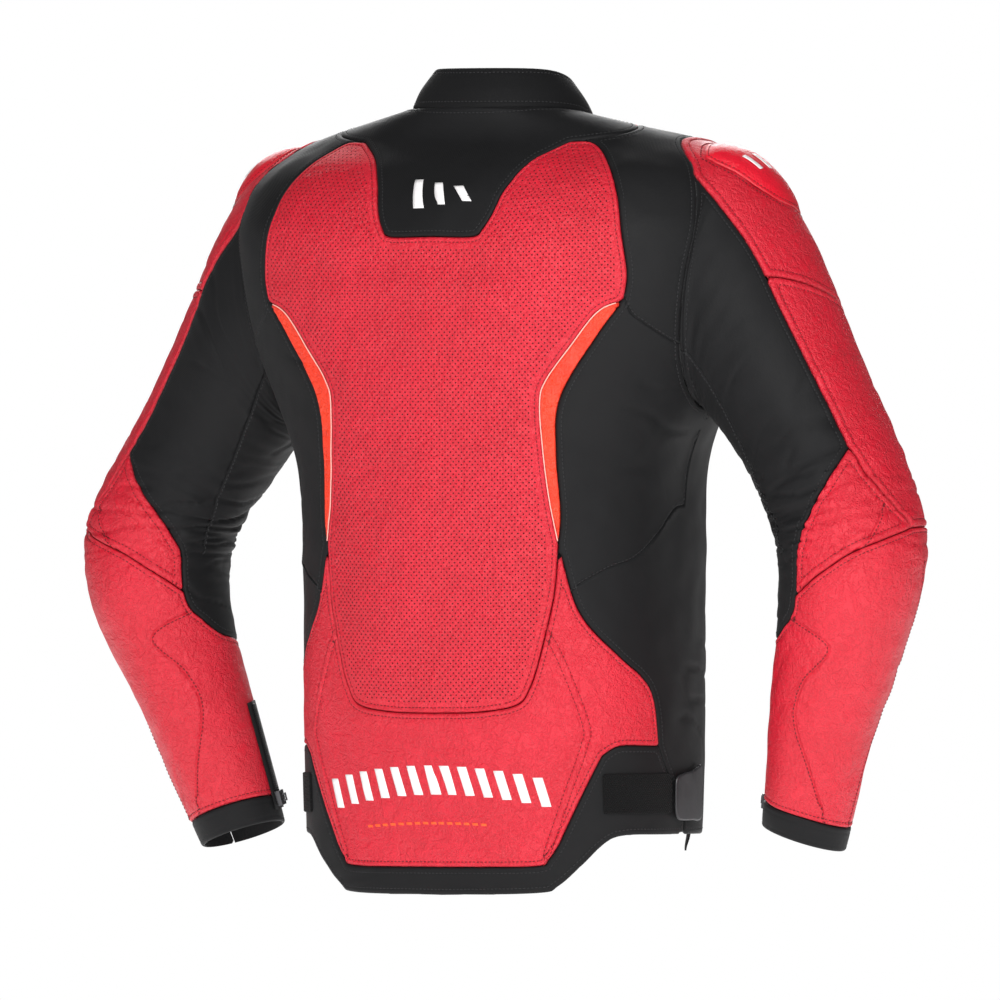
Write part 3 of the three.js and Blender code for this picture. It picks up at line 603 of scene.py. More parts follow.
# %% Body seams
RIDGE = math.radians(93)
RIDGE_H = 667
OUTLINES = {
    "tongue": [(0, 566), (40, 566), (48, 572), (55, 586), (63, 611), (76, 632), (99, 648)],
    "lobe": [(99, 648), (117, 648), (133, 639), (150, 622), (163, 600), (171, 572), (176, 535), (173, 511)],
    "strap_inner": [(173, 511), (152, 501), (127, 470), (107, 443), (101, 425), (102, 390), (106, 345),
                    (113, 302)],
    "strap_outer": [(113, 302), (115, 330), (113, 382), (118, 428), (150, 480), (173, 511)],
    "panel_low": [(113, 302), (109, 258), (98, 208), (89, 180), (77, 165), (42, 159), (0, 158)],
    "wing": [(113, 302), (127, 246), (152, 208), (164, 190), (169, 170), (170.5, 130)],
    "wing_foot": [(170.5, 130), (153, 130), (142, 122)],
    "lower_side": [(142, 122), (127, 88), (108, 46)],
    "lower_hem": [(108, 46), (99, 33), (86, 27), (0, 26)],
    "tail_side": [(170.5, 130), (173, 104), (174, 78), (174, 54)],
    "hem_back": [(0, 2), (88, 4), (106, 10), (125, 28), (143, 48), (155, 53.5), (174, 54)],
}
FRONT_OUTLINES = {
    "chest_side": [(142, 645), (160, 600), (170, 540), (172, 480), (152, 405), (128, 352), (118, 332)],
    "belly_top": [(118, 332), (60, 336), (13.4, 336)],
    "belly_side": [(118, 332), (121, 250), (126, 200), (122, 120), (114, 61)],
    "hem_front": [(0, 72), (70, 70), (125, 60), (160, 54.5), (174, 54)],
    "placket": [(13.4, 40), (13.4, 200), (13.4, 400), (13.4, 600), (13.4, 680)],
}


def lay(points, behind=True, step=1.2):
    """An outline in (x, h) as pattern coordinates on the body."""
    p = curved(points, step)
    x, z = p[:, 0], high(p[:, 1])
    angle, level = body_angle(x, z, behind), z
    for _ in range(14):
        level = z + smooth(TORSO, level)[:, 4] * ((1 - np.cos(angle)) / 2) ** 3
        angle = body_angle(x, level, behind)
    return np.stack([angle, level], 1)


def straight(a, b, count=80):
    return np.linspace(a, b, count)


seam = {name: lay(points) for name, points in OUTLINES.items()}
seam.update({name: lay(points, False) for name, points in FRONT_OUTLINES.items()})
ridge = (RIDGE, at_height(RIDGE_H))
seam["shoulder"] = straight(seam["tongue"][-1], ridge)
seam["ridge"] = straight(ridge, (RIDGE, at_height(678)))
seam["chest_top"] = straight(ridge, seam["chest_side"][0])
seam["neck"] = straight((0, at_height(678)), (math.pi, at_height(678)), 300)
turn = np.linspace(-math.pi, math.pi, 700)
hole = armhole_at(turn)
seam["armhole"] = np.stack([body_angle(hole[:, 0], hole[:, 2], np.sin(turn) >= 0), hole[:, 2]], 1)


def on_body(line):
    return body_at(line[:, 0], line[:, 1])


both = [line * [s, 1] for line in seam.values() for s in (1, -1)]
body_lines = Lines([on_body(line) for line in both])
print("seam lines", len(both), "stretches", len(body_lines.a))

# %% [markdown]
# ## Which panel a point belongs to
# Panels are outlines joined end to end in pattern coordinates. The side panels are what is left.

# %% Panels of the body
TOP = at_height(700)


def joined(*parts):
    return np.vstack([seam[p.strip("-")][::-1] if p.startswith("-") else seam[p] for p in parts])


def closed(line, *corners):
    return np.vstack([line, np.array(corners, float)]) if corners else line


PANELS = {
    "back_perforated_panel": closed(joined("tongue", "lobe", "strap_inner", "panel_low"),
                                    (-0.2, high(158)), (-0.2, high(566))),
    "back_lower_panel": closed(joined("-panel_low", "wing", "wing_foot", "lower_side", "lower_hem"),
                               (-0.2, high(26)), (-0.2, high(158))),
    "accent_strip": joined("strap_inner", "strap_outer"),
    "back_yoke": closed(joined("tongue", "shoulder"), (RIDGE, TOP), (-0.2, TOP), (-0.2, high(566))),
    "tail_panel": closed(joined("-lower_hem", "-lower_side", "-wing_foot", "tail_side", "-hem_back"),
                         (-0.2, high(2)), (-0.2, high(26))),
    "front_chest_panel": closed(joined("ridge", "chest_top", "chest_side", "belly_top"),
                                (3.4, high(336)), (3.4, TOP), (RIDGE, TOP)),
    "front_lower_panel": closed(joined("-belly_top", "belly_side"),
                                (seam["belly_side"][-1, 0], high(40)), (3.4, high(40)), (3.4, high(336))),
}
angles = even(lambda a: body_at(a, high(400)), -math.pi, math.pi, CELL)
levels = even(lambda z: body_at(math.pi / 2, z), high(-4), high(678), CELL)
block, block_tri = grid(angles, levels)
block_at = body_at(block[:, 0], block[:, 1])
reach = body_lines.distance(block_at)


def labelled(points, panels):
    """The name of the panel that each point is in, or the side stretch panel outside them all."""
    label = np.full(len(points), "side_stretch_panel", dtype="U32")
    a, level = np.abs(points[:, 0]), points[:, 1]
    for name, line in panels.items():
        label[inside(a, level, line)] = name
    return label


label = labelled(block, PANELS)
hem_back, hem_front = (curved(OUTLINES["hem_back"]), curved(FRONT_OUTLINES["hem_front"]))


def off_body(points, at, hem_rise=0.0, placket=13.4):
    """Which points are below the hem, in an armhole or in the slot for the front zip."""
    x, z = np.abs(at[:, 0]), at[:, 2]
    behind = np.cos(points[:, 0]) > 0
    hem = high(np.where(behind, np.interp(x, *hem_back.T), np.interp(x, *hem_front.T))) + hem_rise
    edge = np.where(z > ARMHOLE[-1, 0], 176, smooth(ARMHOLE, z)[:, 0])
    return (z < hem) | ((z > ARMHOLE[0, 0]) & (x > edge)) | (~behind & (x < placket))


label[off_body(block, block_at)] = ""
print("grid points", len(block), {n: int((label == n).sum()) for n in np.unique(label)})

# %% [markdown]
# ## Edges
# Leather is turned under at a seam and stitched a few millimetres in, so its edge rolls down,
# swells a little and dips under the thread. Stretch cloth is thinner and lies flatter.

# %% Edge profiles and panels
GAP = 0.25
ROLL = {
    "leather": [(0.25, -1.5), (0.8, -0.5), (1.6, 0.15), (2.7, 0.4), (3.7, 0.15), (4.6, -0.3), (5.6, 0.0),
                (8, 0.3), (16, 0.3)],
    "cloth": [(0.25, -1.3), (0.9, -0.55), (2.0, -0.05), (4.0, 0.1), (5.0, -0.12), (6.0, 0.1)],
    "strip": [(0.25, -1.2), (0.8, 0.1), (1.6, 0.55), (2.6, 0.45), (4, 0.35)],
    "cup": [(0.25, 0.7), (0.8, 1.5), (2.0, 2.1), (3.2, 1.9), (4.4, 2.6), (9, 4.2), (16, 5.4), (26, 6.2)],
    "bound": [(0.25, -1.4), (0.8, -0.3), (1.8, 0.6), (3.6, 0.95), (5.6, 0.75), (6.8, -0.3), (8.2, 0.15),
              (11, 0.35)],
    "patch": [(0.25, 0.6), (0.6, 1.4), (1.2, 1.75), (2.2, 1.8)],
    "collar": [(0.25, -1.9), (0.7, -1.0), (1.5, -0.25), (3.0, 0.15), (5.0, 0.1), (6.0, -0.2), (7.2, 0.05)],
    "lining": [(0.25, 0.0), (3, 0.0)],
    "pad": [(0.25, -4.0), (1.2, -2.2), (3.5, -0.8), (8, 0.0)],
}
SHELL = 2.4


def cut_panel(points, tri, signed, roll, extra=()):
    """A panel's own triangles, split along its edge, from a column that is positive inside it.
    Every extra is (column, levels, near), for seams that run across the panel."""
    made = np.column_stack([points, signed] + [e[0] for e in extra])
    tri = tri[(signed[tri] > -3 * CELL).all(1) & (signed[tri] > 0).any(1)]
    made, tri = split(made, tri, 2, GAP)
    made, tri = keep(made, tri, made[tri, 2].mean(1) > GAP)
    for level, _ in ROLL[roll][1:]:
        made, tri = split(made, tri, 2, level)
    for k, (_, marks, near) in enumerate(extra):
        for level in marks:
            made, tri = split(made, tri, 3 + k, level, 0.12, near)
    return keep(made, tri, np.ones(len(tri), bool))


def shaped(name, made, tri, surface, step, roll, relief=None, mirror=False, shell=SHELL, lift=0.0, wave=None):
    """Gives a cut panel its height above the block, its thickness and its mesh. A wave bends the
    whole sheet and a relief only its outer skin. Returns the object and the outer skin."""
    at = surface(made[:, 0], made[:, 1])
    n = outwards(surface, made[:, 0], made[:, 1], step)
    base = lift + (0 if wave is None else wave(at))
    rise = base + np.interp(made[:, 2], *np.array(ROLL[roll]).T)
    if relief is not None:
        rise = rise + relief(made)
    side = [-1, 1, 1] if mirror else [1, 1, 1]
    outer = (at + n * (np.ones(len(at)) * rise)[:, None]) * side
    inner = (at + n * (np.ones(len(at)) * (base - shell))[:, None]) * side
    if mirror:
        tri = tri[:, ::-1]
    return thick(name, outer, inner, tri, {"edge": made[:, 2]}), outer, tri

# %% [markdown]
# ## The sleeve's pattern
# A sleeve is cut the same way, from the ring surface. Its pattern coordinates are the angle round
# the arm and the ring along it. Hanging sleeves turn a little, so each side's seams are twisted.

# %% Sleeve seams
def degrees(rows):
    """Rows of (ring, degrees) as a smooth line of (angle, ring)."""
    p = curved([(math.radians(a), r * 0.9) for r, a in rows], 0.015)
    return p / [1, 0.9]


CUFF_RING = 9.76
FRONT, FRONT_AGAIN = -60, 300
ARM = {
    "back_edge": degrees([(0, 44), (1, 50), (2.4, 50), (3.6, 49), (4.65, 48)]),
    "gusset": degrees([(4.65, 48), (5.0, 76), (5.4, 102), (5.8, 116), (6.3, 125), (7.4, 127), (7.75, 137),
                       (8.04, 156), (8.12, 190)]),
    "gusset_foot": degrees([(8.12, 190), (8.1, 240), (8.12, 300)]),
    "point": degrees([(4.65, 48), (5.25, 40), (5.84, 20)]),
    "cross": degrees([(2.40, 50), (2.72, 26), (2.93, 0), (2.96, -30), (2.92, -60)]),
    "elbow_front": degrees([(5.84, 20), (5.82, -10), (5.84, -60)]),
    "elbow_back": degrees([(5.84, 20), (6.0, 51), (6.22, 78), (6.6, 100), (7.15, 126.4)]),
    "front": degrees([(0, -60), (3, -60), (6, -60), (CUFF_RING, -60)]),
    "front_again": degrees([(0, 300), (3, 300), (6, 300), (CUFF_RING, 300)]),
    "armhole": degrees([(0, a) for a in range(-60, 301, 20)]),
    "cuff": degrees([(CUFF_RING, a) for a in range(-60, 301, 20)]),
}


def twist(ring, side):
    return side * np.radians(np.interp(ring, [0, 1, 4.6, 6, 10], [0, 5, 6, 13, 13]))


def arm_surface(side):
    return lambda angle, ring: sleeve_at(angle + twist(ring, side), ring)


r2 = math.radians(FRONT_AGAIN) + 0.3
back_all = np.vstack([ARM["back_edge"], ARM["gusset"], ARM["gusset_foot"]])
GUSSET_TIP = ARM["elbow_back"][-1]


def arm_label(points):
    """The panel names of points on the sleeve, from which side of the seams they lie."""
    angle, ring = points.T
    after = lambda line: ring > np.interp(angle, *line[np.argsort(line[:, 0])].T)
    stretch = inside(angle, ring, np.vstack([back_all, [(r2, 8.12), (r2, -1), (math.radians(44), -1)]]))
    cap = ~after(ARM["cross"][::-1]) & ~stretch
    elbow = inside(angle, ring, np.vstack([ARM["point"], ARM["elbow_back"], ARM["gusset"][::-1][
        ARM["gusset"][::-1][:, 1] <= GUSSET_TIP[1]]]))
    low_seam = np.vstack([ARM["elbow_front"][::-1], ARM["elbow_back"]])
    above = ring < np.interp(angle, low_seam[:, 0], low_seam[:, 1])
    outer = above & ~elbow & (angle < math.radians(60))
    label = np.where(elbow, "elbow_panel", np.where(outer, "outer_arm", "forearm_panel"))
    label = np.where(stretch, "under_arm", np.where(cap, "shoulder_panel", label))
    return label.astype("U32")


arm_angles = even(lambda a: sleeve_at(a, 3.0), math.radians(FRONT), math.radians(FRONT_AGAIN), CELL)
arm_rings = even(lambda r: sleeve_at(0.3, r), 0.0, CUFF_RING, CELL)
arm, arm_tri = grid(arm_angles, arm_rings)
arm_names = arm_label(arm)
print("sleeve points", len(arm), {n: int((arm_names == n).sum()) for n in np.unique(arm_names)})
arm_reach = {}
for side_name, side in SIDES:
    skin = arm_surface(side)
    lines = Lines([skin(line[:, 0], line[:, 1]) for line in ARM.values()])
    arm_reach[side_name] = lines.distance(skin(arm[:, 0], arm[:, 1]))

# %% [markdown]
# ## Folds and creases
# Worn leather and hung cloth are never quite smooth. A few dozen sine waves in fixed, seeded
# directions add up to soft folds. Where such a sum passes through nothing it draws long wandering
# lines, which pressed in a little make the creases round an elbow.

# %% Folds
def folds(p, size, seed, count=14):
    """A smooth random height for points, about 1 at most, with folds of roughly that size."""
    rng = np.random.default_rng(seed)
    turn = rng.normal(size=(count, p.shape[1]))
    turn = unit(turn)
    turn *= (2 * math.pi / size * rng.uniform(0.6, 1.5, (count, 1)))
    return np.sin(p @ turn.T + rng.uniform(0, 2 * math.pi, count)).sum(1) / math.sqrt(2 * count)


def ease(value, low, high):
    t = np.clip((value - low) / (high - low), 0, 1)
    return t * t * (3 - 2 * t)


def body_wave(at):
    free = ease(222 - np.abs(at[:, 0]), 0, 45) * ease(-at[:, 2], 4, 60)
    long_folds = folds(at * [1, 1, 0.3], 78, 4)
    arches = np.exp(-(((at[:, 2] + 150) / 75) ** 2)) * np.sin(at[:, 2] / 6.5 + (at[:, 0] / 95) ** 2)
    arches = arches * ease(at[:, 1], 40, 90) * ease(120 - np.abs(at[:, 0]), 0, 60)
    crease = np.exp(-((folds(at * [0.55, 0.55, 1], 52, 9) / 0.16) ** 2)) * ease(folds(at, 150, 2), 0.1, 0.9)
    side = ease(np.abs(at[:, 0]), 100, 160)
    strap = np.exp(-(((at[:, 2] + 588) / 34) ** 2)) * ease(np.abs(at[:, 0]), 80, 120)
    # The waist strap holds the cloth flat.
    free = free * (1 - 0.92 * strap)
    return free * (1.5 * long_folds + 0.5 * arches - crease * (0.5 + 1.0 * side) + 0.4 * folds(at, 34, 21))


def arm_wave(side):
    def wave(made, at):
        angle, ring = made[:, 0], made[:, 1]
        flat = np.stack([np.cos(angle) * 58, np.sin(angle) * 58, ring * 74], 1)
        bend = np.exp(-(((ring - 5.35) / 0.95) ** 2))
        inner = 0.55 + 0.45 * np.cos(angle - math.pi * 0.8)
        tight = np.exp(-((folds(flat * [0.42, 0.42, 1], 34, 31 + side) / 0.2) ** 2))
        loose = np.exp(-((folds(flat * [0.7, 0.7, 1], 60, 41 + side) / 0.13) ** 2))
        soft = folds(flat * [1, 1, 0.5], 70, 51 + side)
        ripple = folds(flat * [0.6, 0.6, 1], 24, 61 + side)
        free = ease(ring, 0.1, 1.3)
        slack = ease(folds(flat, 140, 71 + side), -0.3, 0.7)
        return free * (1.3 * soft - bend * (2.3 * inner + 1.0) * tight
                       - 1.0 * loose * slack + (0.35 + 0.5 * bend) * ripple)
    return wave


# %% [markdown]
# ## Stitches, holes and teeth
# A stitch, a punched hole and a zip tooth are each one tiny shape repeated thousands of times, so
# Geometry Nodes place them. One tree walks along seam lines and sets a stitch at every pitch.
# The other puts a stud on each given point, turned to face along two stored directions.

# %% Trees
def grow(tree, kind, settings=None, inputs=None):
    made = tree.nodes.new(kind)
    for key, value in (settings or {}).items():
        setattr(made, key, value)
    for key, value in (inputs or {}).items():
        if isinstance(value, bpy.types.NodeSocket):
            tree.links.new(value, made.inputs[key])
        else:
            made.inputs[key].default_value = value
    return made


def new_tree(name, sizes, material):
    """A tree with named inputs for its sizes in metres, and the node that gives them."""
    tree = bpy.data.node_groups.new(name, "GeometryNodeTree")
    tree.interface.new_socket("Geometry", in_out="INPUT", socket_type="NodeSocketGeometry")
    for key, value in sizes.items():
        tree.interface.new_socket(key, in_out="INPUT", socket_type="NodeSocketFloat").default_value = value
    tree.interface.new_socket("Geometry", in_out="OUTPUT", socket_type="NodeSocketGeometry")
    given = tree.nodes.new("NodeGroupInput")

    def end(instances):
        real = grow(tree, "GeometryNodeRealizeInstances", None, {0: instances})
        coat = grow(tree, "GeometryNodeSetMaterial", None, {
            "Geometry": real.outputs[0], "Material": material})
        tree.links.new(coat.outputs[0], tree.nodes.new("NodeGroupOutput").inputs[0])
        return tree
    return tree, given.outputs, end


def stitch_tree(name, material):
    tree, given, end = new_tree(name, {"Pitch": 0.0036, "Length": 0.0027, "Thickness": 0.00125}, material)
    line = grow(tree, "GeometryNodeMeshToCurve", None, {0: given["Geometry"]})
    beads = grow(tree, "GeometryNodeResampleCurve", {"mode": "LENGTH"}, {
        0: line.outputs[0], "Length": given["Pitch"]})
    ball = grow(tree, "GeometryNodeMeshUVSphere", None, {"Segments": 5, "Rings": 3, "Radius": 0.5})
    size = grow(tree, "ShaderNodeCombineXYZ", None, {
        "X": given["Thickness"], "Y": given["Thickness"], "Z": given["Length"]})
    thread = grow(tree, "GeometryNodeTransform", None, {
        "Geometry": ball.outputs[0], "Scale": size.outputs[0]})
    along = tree.nodes.new("GeometryNodeInputTangent")
    turned = grow(tree, "FunctionNodeAlignRotationToVector", {"axis": "Z"}, {"Vector": along.outputs[0]})
    placed = grow(tree, "GeometryNodeInstanceOnPoints", None, {
        "Points": beads.outputs[0], "Instance": thread.outputs[0], "Rotation": turned.outputs[0]})
    return end(placed.outputs[0])


def stud_tree(name, material, sides, wide, deep, high_):
    """Sides 0 makes a block, any other number a prism. Its Z faces out and its Y runs along."""
    tree, given, end = new_tree(name, {"Width": wide, "Depth": deep, "Height": high_}, material)
    size = grow(tree, "ShaderNodeCombineXYZ", None, {
        "X": given["Width"], "Y": given["Depth"], "Z": given["Height"]})
    if sides:
        stud = grow(tree, "GeometryNodeMeshCylinder", {"fill_type": "NGON"}, {
            "Vertices": sides, "Radius": 0.5, "Depth": 1})
    else:
        stud = grow(tree, "GeometryNodeMeshCube", None, {"Size": (1, 1, 1)})
    shape = grow(tree, "GeometryNodeTransform", None, {"Geometry": stud.outputs[0], "Scale": size.outputs[0]})
    out = grow(tree, "GeometryNodeInputNamedAttribute", {"data_type": "FLOAT_VECTOR"}, {"Name": "out"})
    run = grow(tree, "GeometryNodeInputNamedAttribute", {"data_type": "FLOAT_VECTOR"}, {"Name": "run"})
    facing = grow(tree, "FunctionNodeAlignRotationToVector", {"axis": "Z"}, {"Vector": out.outputs[0]})
    turned = grow(tree, "FunctionNodeAlignRotationToVector", {"axis": "Y", "pivot_axis": "Z"}, {
        "Rotation": facing.outputs[0], "Vector": run.outputs[0]})
    placed = grow(tree, "GeometryNodeInstanceOnPoints", None, {
        "Points": given["Geometry"], "Instance": shape.outputs[0], "Rotation": turned.outputs[0]})
    return end(placed.outputs[0])


def grown(name, tree, points, edges=(), vectors=None, **sizes):
    """Runs a tree on a carrier of points and edges and keeps the result as a plain mesh."""
    mesh = bpy.data.meshes.new(name + "_carrier")
    mesh.from_pydata((np.asarray(points) * MM).tolist(), [tuple(map(int, e)) for e in edges], [])
    for key, value in (vectors or {}).items():
        column = mesh.attributes.new(key, "FLOAT_VECTOR", "POINT").data
        column.foreach_set("vector", np.asarray(value, np.float32).ravel())
    carrier = bpy.data.objects.new(name + "_carrier", mesh)
    bpy.context.scene.collection.objects.link(carrier)
    modifier = carrier.modifiers.new("grow", "NODES")
    modifier.node_group = tree
    for item in tree.interface.items_tree:
        if item.in_out == "INPUT" and item.name in sizes:
            modifier[item.identifier] = sizes[item.name]
    bpy.context.view_layer.update()
    done = bpy.data.meshes.new_from_object(carrier.evaluated_get(bpy.context.evaluated_depsgraph_get()))
    done.name = name
    done.shade_smooth()
    made = bpy.data.objects.new(name, done)
    bpy.context.scene.collection.objects.link(made)
    bpy.data.objects.remove(carrier)
    print(name, len(done.polygons), "faces")
    return made


def seam_edges(values, tri, level, near=0.21):
    """The edges of a cut panel that lie on one of its split lines."""
    on = np.abs(values - level) < near
    edges = np.sort(edges_of(tri), 1)
    return np.unique(edges[on[edges].all(1)], axis=0)


class Thread:
    """Gathers seam lines from many panels into one carrier for stitches."""

    def __init__(self):
        self.points, self.edges, self.count = [], [], 0

    def sew(self, skin, edges):
        if len(edges) == 0:
            return
        used, place = np.unique(edges, return_inverse=True)
        self.points.append(skin[used])
        self.edges.append(place.reshape(-1, 2) + self.count)
        self.count += len(used)

    def made(self, name, tree):
        return grown(name, tree, np.vstack(self.points), np.vstack(self.edges))


red_stitch = stitch_tree("red_stitches", red_thread)
black_stitch = stitch_tree("black_stitches", black_thread)


# %% Flat sizes
def flat_size(made, tri, surface):
    """The longest spans and the area, in metres, of a finished panel's surface before its folds.
    They are read from the panel as it is sewn, and aren't the measures of a cutting pattern."""
    a, b = made[:, 0], made[:, 1]
    da, db = (1e-3, 1e-3) if np.abs(b).max() < 20 else (1e-3, 0.1)
    across = np.linalg.norm(surface(a + da, b) - surface(a - da, b), axis=1) / (2 * da)
    down = np.linalg.norm(surface(a, b + db) - surface(a, b - db), axis=1) / (2 * db)
    p = surface(a, b)[tri]
    area = np.linalg.norm(np.cross(p[:, 1] - p[:, 0], p[:, 2] - p[:, 0]), axis=1).sum() / 2

    def longest(value, other, speed):
        bins = np.clip(((other - other.min()) / np.ptp(other) * 30).astype(int), 0, 29)
        rows = [bins == k for k in range(30) if (bins == k).sum() > 2]
        return max(np.ptp(value[row]) * speed[row].mean() for row in rows)
    wide, long_ = longest(a, b, across), longest(b, a, down)
    return (wide * MM, long_ * MM), area * MM * MM


def declare(made, tri, surface):
    """Works out a piece's flat size and gives it back."""
    flat, area = flat_size(made, tri, surface)
    return flat


def dress(piece, finish, body=None, replaces=(), bend=None):
    """Gives a piece its finish and its body, or with a bend only keeps its place, and hides the CAD nodes
    that it replaces.
    """
    if finish and not (piece.data.materials and piece.data.materials[0] == finish):
        piece.data.materials.clear()
        piece.data.materials.append(finish)
    if bend:
        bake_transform(piece)
    else:
        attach(piece, body or "jacket")
    if replaces:
        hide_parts(*replaces)
    return piece


# %% [markdown]
# ## Seams that cross a panel
# Some panels are themselves sewn from two pieces, with a welt stitched down on both sides. Such a
# seam is a line of its own: the triangles are split along it and pressed in beside it.

# %% Welts on the body
WELTS = {
    "back_lower_panel": [[(97, 238), (114, 204), (131, 150), (129, 128), (114, 84), (98, 38)]],
    "side_stretch_panel": [
        [(127, 268), (146, 282), (161, 292), (170, 312), (175, 339), (181, 372), (186, 392)],
        [(172.5, 515), (178, 500), (186, 492), (205, 474)],
    ],
}
DOUBLE = ([0, 1.8, 3.0, 4.2, 7], [0.9, 0.75, -0.55, 0.2, 0])
SINGLE = ([0, 0.6, 1.5, 3, 5.5], [-0.9, -0.3, 0.35, 0.3, 0])
DOUBLE_MARKS = [-3, -1.8, 0, 1.8, 3]
SINGLE_MARKS = [-1.5, -0.6, 0, 0.6, 1.5]
WELT_NEAR = 9


def welt_lift(profile):
    return lambda made: np.interp(np.abs(made[:, 3:]).min(1), *profile) if made.shape[1] > 3 else 0


def welt_columns(name):
    """Signed distances of the block's points to each welt of a panel, with the levels to split at."""
    marks = DOUBLE_MARKS if name == "back_lower_panel" else SINGLE_MARKS
    extra = []
    for points in WELTS.get(name, ()):
        line = on_body(lay(points))
        pair = Lines([line, line * [-1, 1, 1]])
        close = np.abs(np.abs(block_at[:, 2] - line[:, 2].mean())) < np.ptp(line[:, 2]) / 2 + 20
        d = np.full(len(block), 50.0)
        d[close] = pair.signed(block_at[close], outwards(body_at, *block[close].T, BODY_STEP))
        extra.append((d, marks, WELT_NEAR))
    return extra


# %% Body panels
STITCH_AT = {"leather": 4.6, "cloth": 5.0, "bound": 6.8}
BODY_PANELS = [
    ("back_perforated_panel", "leather", red_leather, "leather_red", False),
    ("back_lower_panel", "leather", red_leather, "leather_red", False),
    ("back_yoke", "cloth", stretch_black, "stretch_black", False),
    ("tail_panel", "cloth", stretch_black, "stretch_black", False),
    ("accent_strip", "strip", orange_leather, "leather_orange", True),
    ("side_stretch_panel", "cloth", stretch_black, "stretch_black", True),
    ("front_chest_panel", "leather", red_leather, "leather_red", True),
    ("front_lower_panel", "leather", red_leather, "leather_red", True),
]
red_sewing, black_sewing = Thread(), Thread()
for name, roll, finish, slot_name, paired in BODY_PANELS:
    extra = welt_columns(name)
    profile = DOUBLE if name == "back_lower_panel" else SINGLE
    for side_name, side in SIDES if paired else (("", 0),):
        mine = (label == name) & (block[:, 0] * side >= 0)
        made, tri = cut_panel(block, block_tri, np.where(mine, reach, -reach), roll, extra)
        node = f"{name}_{side_name}" if paired else name
        piece, skin, tri = shaped(node + "_sewn", made, tri, body_at, BODY_STEP, roll,
                                  welt_lift(profile), wave=body_wave)
        dress(piece, finish, replaces=[node])
        flat = declare(made, tri, body_at)
        if roll in STITCH_AT:
            thread = red_sewing if roll == "leather" else black_sewing
            thread.sew(skin, seam_edges(made[:, 2], tri, STITCH_AT[roll]))
            for k in range(3, made.shape[1]):
                for level in (-3, 3) if name == "back_lower_panel" else (1.5,):
                    thread.sew(skin, seam_edges(made[:, k], tri, level, 0.12))
        print(node, len(made), "points", [round(v, 3) for v in flat])

# %% [markdown]
# ## Sleeves
# Each sleeve panel is cut from the sleeve's grid in the same way. The panels that cross the elbow
# keep their place and are attached to no body.

# %% Sleeve panels
SLEEVE_PANELS = [
    ("shoulder_panel", "bound", red_leather, "leather_red", ["shoulder_panel"], False),
    ("outer_arm", "bound", red_leather, "leather_red", ["outer_arm_panel"], True),
    ("elbow_panel", "bound", red_leather, "leather_red", ["elbow_panel"], True),
    ("forearm_panel", "leather", red_leather, "leather_red", ["forearm_panel"], True),
    ("under_arm", "cloth", stretch_black, "stretch_black",
     ["under_arm_stretch_panel", "elbow_stretch_gusset"], True),
]
ARM_WELTS = {
    "elbow_panel": [degrees([(6.7, 104), (6.35, 84), (6.0, 64), (5.6, 46)])],
    "forearm_panel": [degrees([(6.55, -2), (7.4, -12), (8.4, -10), (9.1, 4), (9.7, 12)]),
                      degrees([(7.6, 126), (7.9, 84), (8.48, 104), (8.95, 104), (9.6, 62)])],
    "under_arm": [degrees([(0.3, 124), (1.6, 126), (3.07, 128), (4.05, 134), (5.0, 140), (5.9, 142)])],
}
for side_name, side in SIDES:
    skin_of = arm_surface(side)
    at_points = skin_of(arm[:, 0], arm[:, 1])
    facing = outwards(skin_of, arm[:, 0], arm[:, 1], SLEEVE_STEP)
    bend = "forearm_" + side_name
    arm_red, arm_black = Thread(), Thread()
    shape = arm_wave(side)
    for name, roll, finish, slot_name, nodes, bends in SLEEVE_PANELS:
        extra = []
        for line in ARM_WELTS.get(name, ()):
            extra.append((Lines([skin_of(*line.T)]).signed(at_points, facing), SINGLE_MARKS, WELT_NEAR))
        mine = arm_names == name
        reach_here = arm_reach[side_name]
        made, tri = cut_panel(arm, arm_tri, np.where(mine, reach_here, -reach_here), roll, extra)
        piece, skin, tri = shaped(f"{name}_{side_name}_sewn", made, tri, skin_of, SLEEVE_STEP, roll,
                                  welt_lift(SINGLE), side < 0, wave=lambda at: shape(made, at))
        dress(piece, finish, replaces=[f"{n}_{side_name}" for n in nodes],
              bend=bend if bends else None)
        flat = declare(made, tri, skin_of)
        thread = arm_black if roll == "cloth" else arm_red
        if name == "shoulder_panel":
            thread = red_sewing
        thread.sew(skin, seam_edges(made[:, 2], tri, STITCH_AT[roll]))
        for k in range(3, made.shape[1]):
            thread.sew(skin, seam_edges(made[:, k], tri, 1.5, 0.12))
        print(piece.name, len(made), "points", [round(v, 3) for v in flat])
    dress(arm_red.made("sleeve_stitches_" + side_name, red_stitch), None, bend=bend)
    dress(arm_black.made("under_arm_stitches_" + side_name, black_stitch), None, bend=bend)
dress(red_sewing.made("leather_stitches", red_stitch), None)
dress(black_sewing.made("cloth_stitches", black_stitch), None)

# %% [markdown]
# ## Perforations
# The middle of the back is punched for air: rows of holes, each row shifted by half a pitch. The
# rows sag a little towards the sides, and no hole comes near the sewn edge.

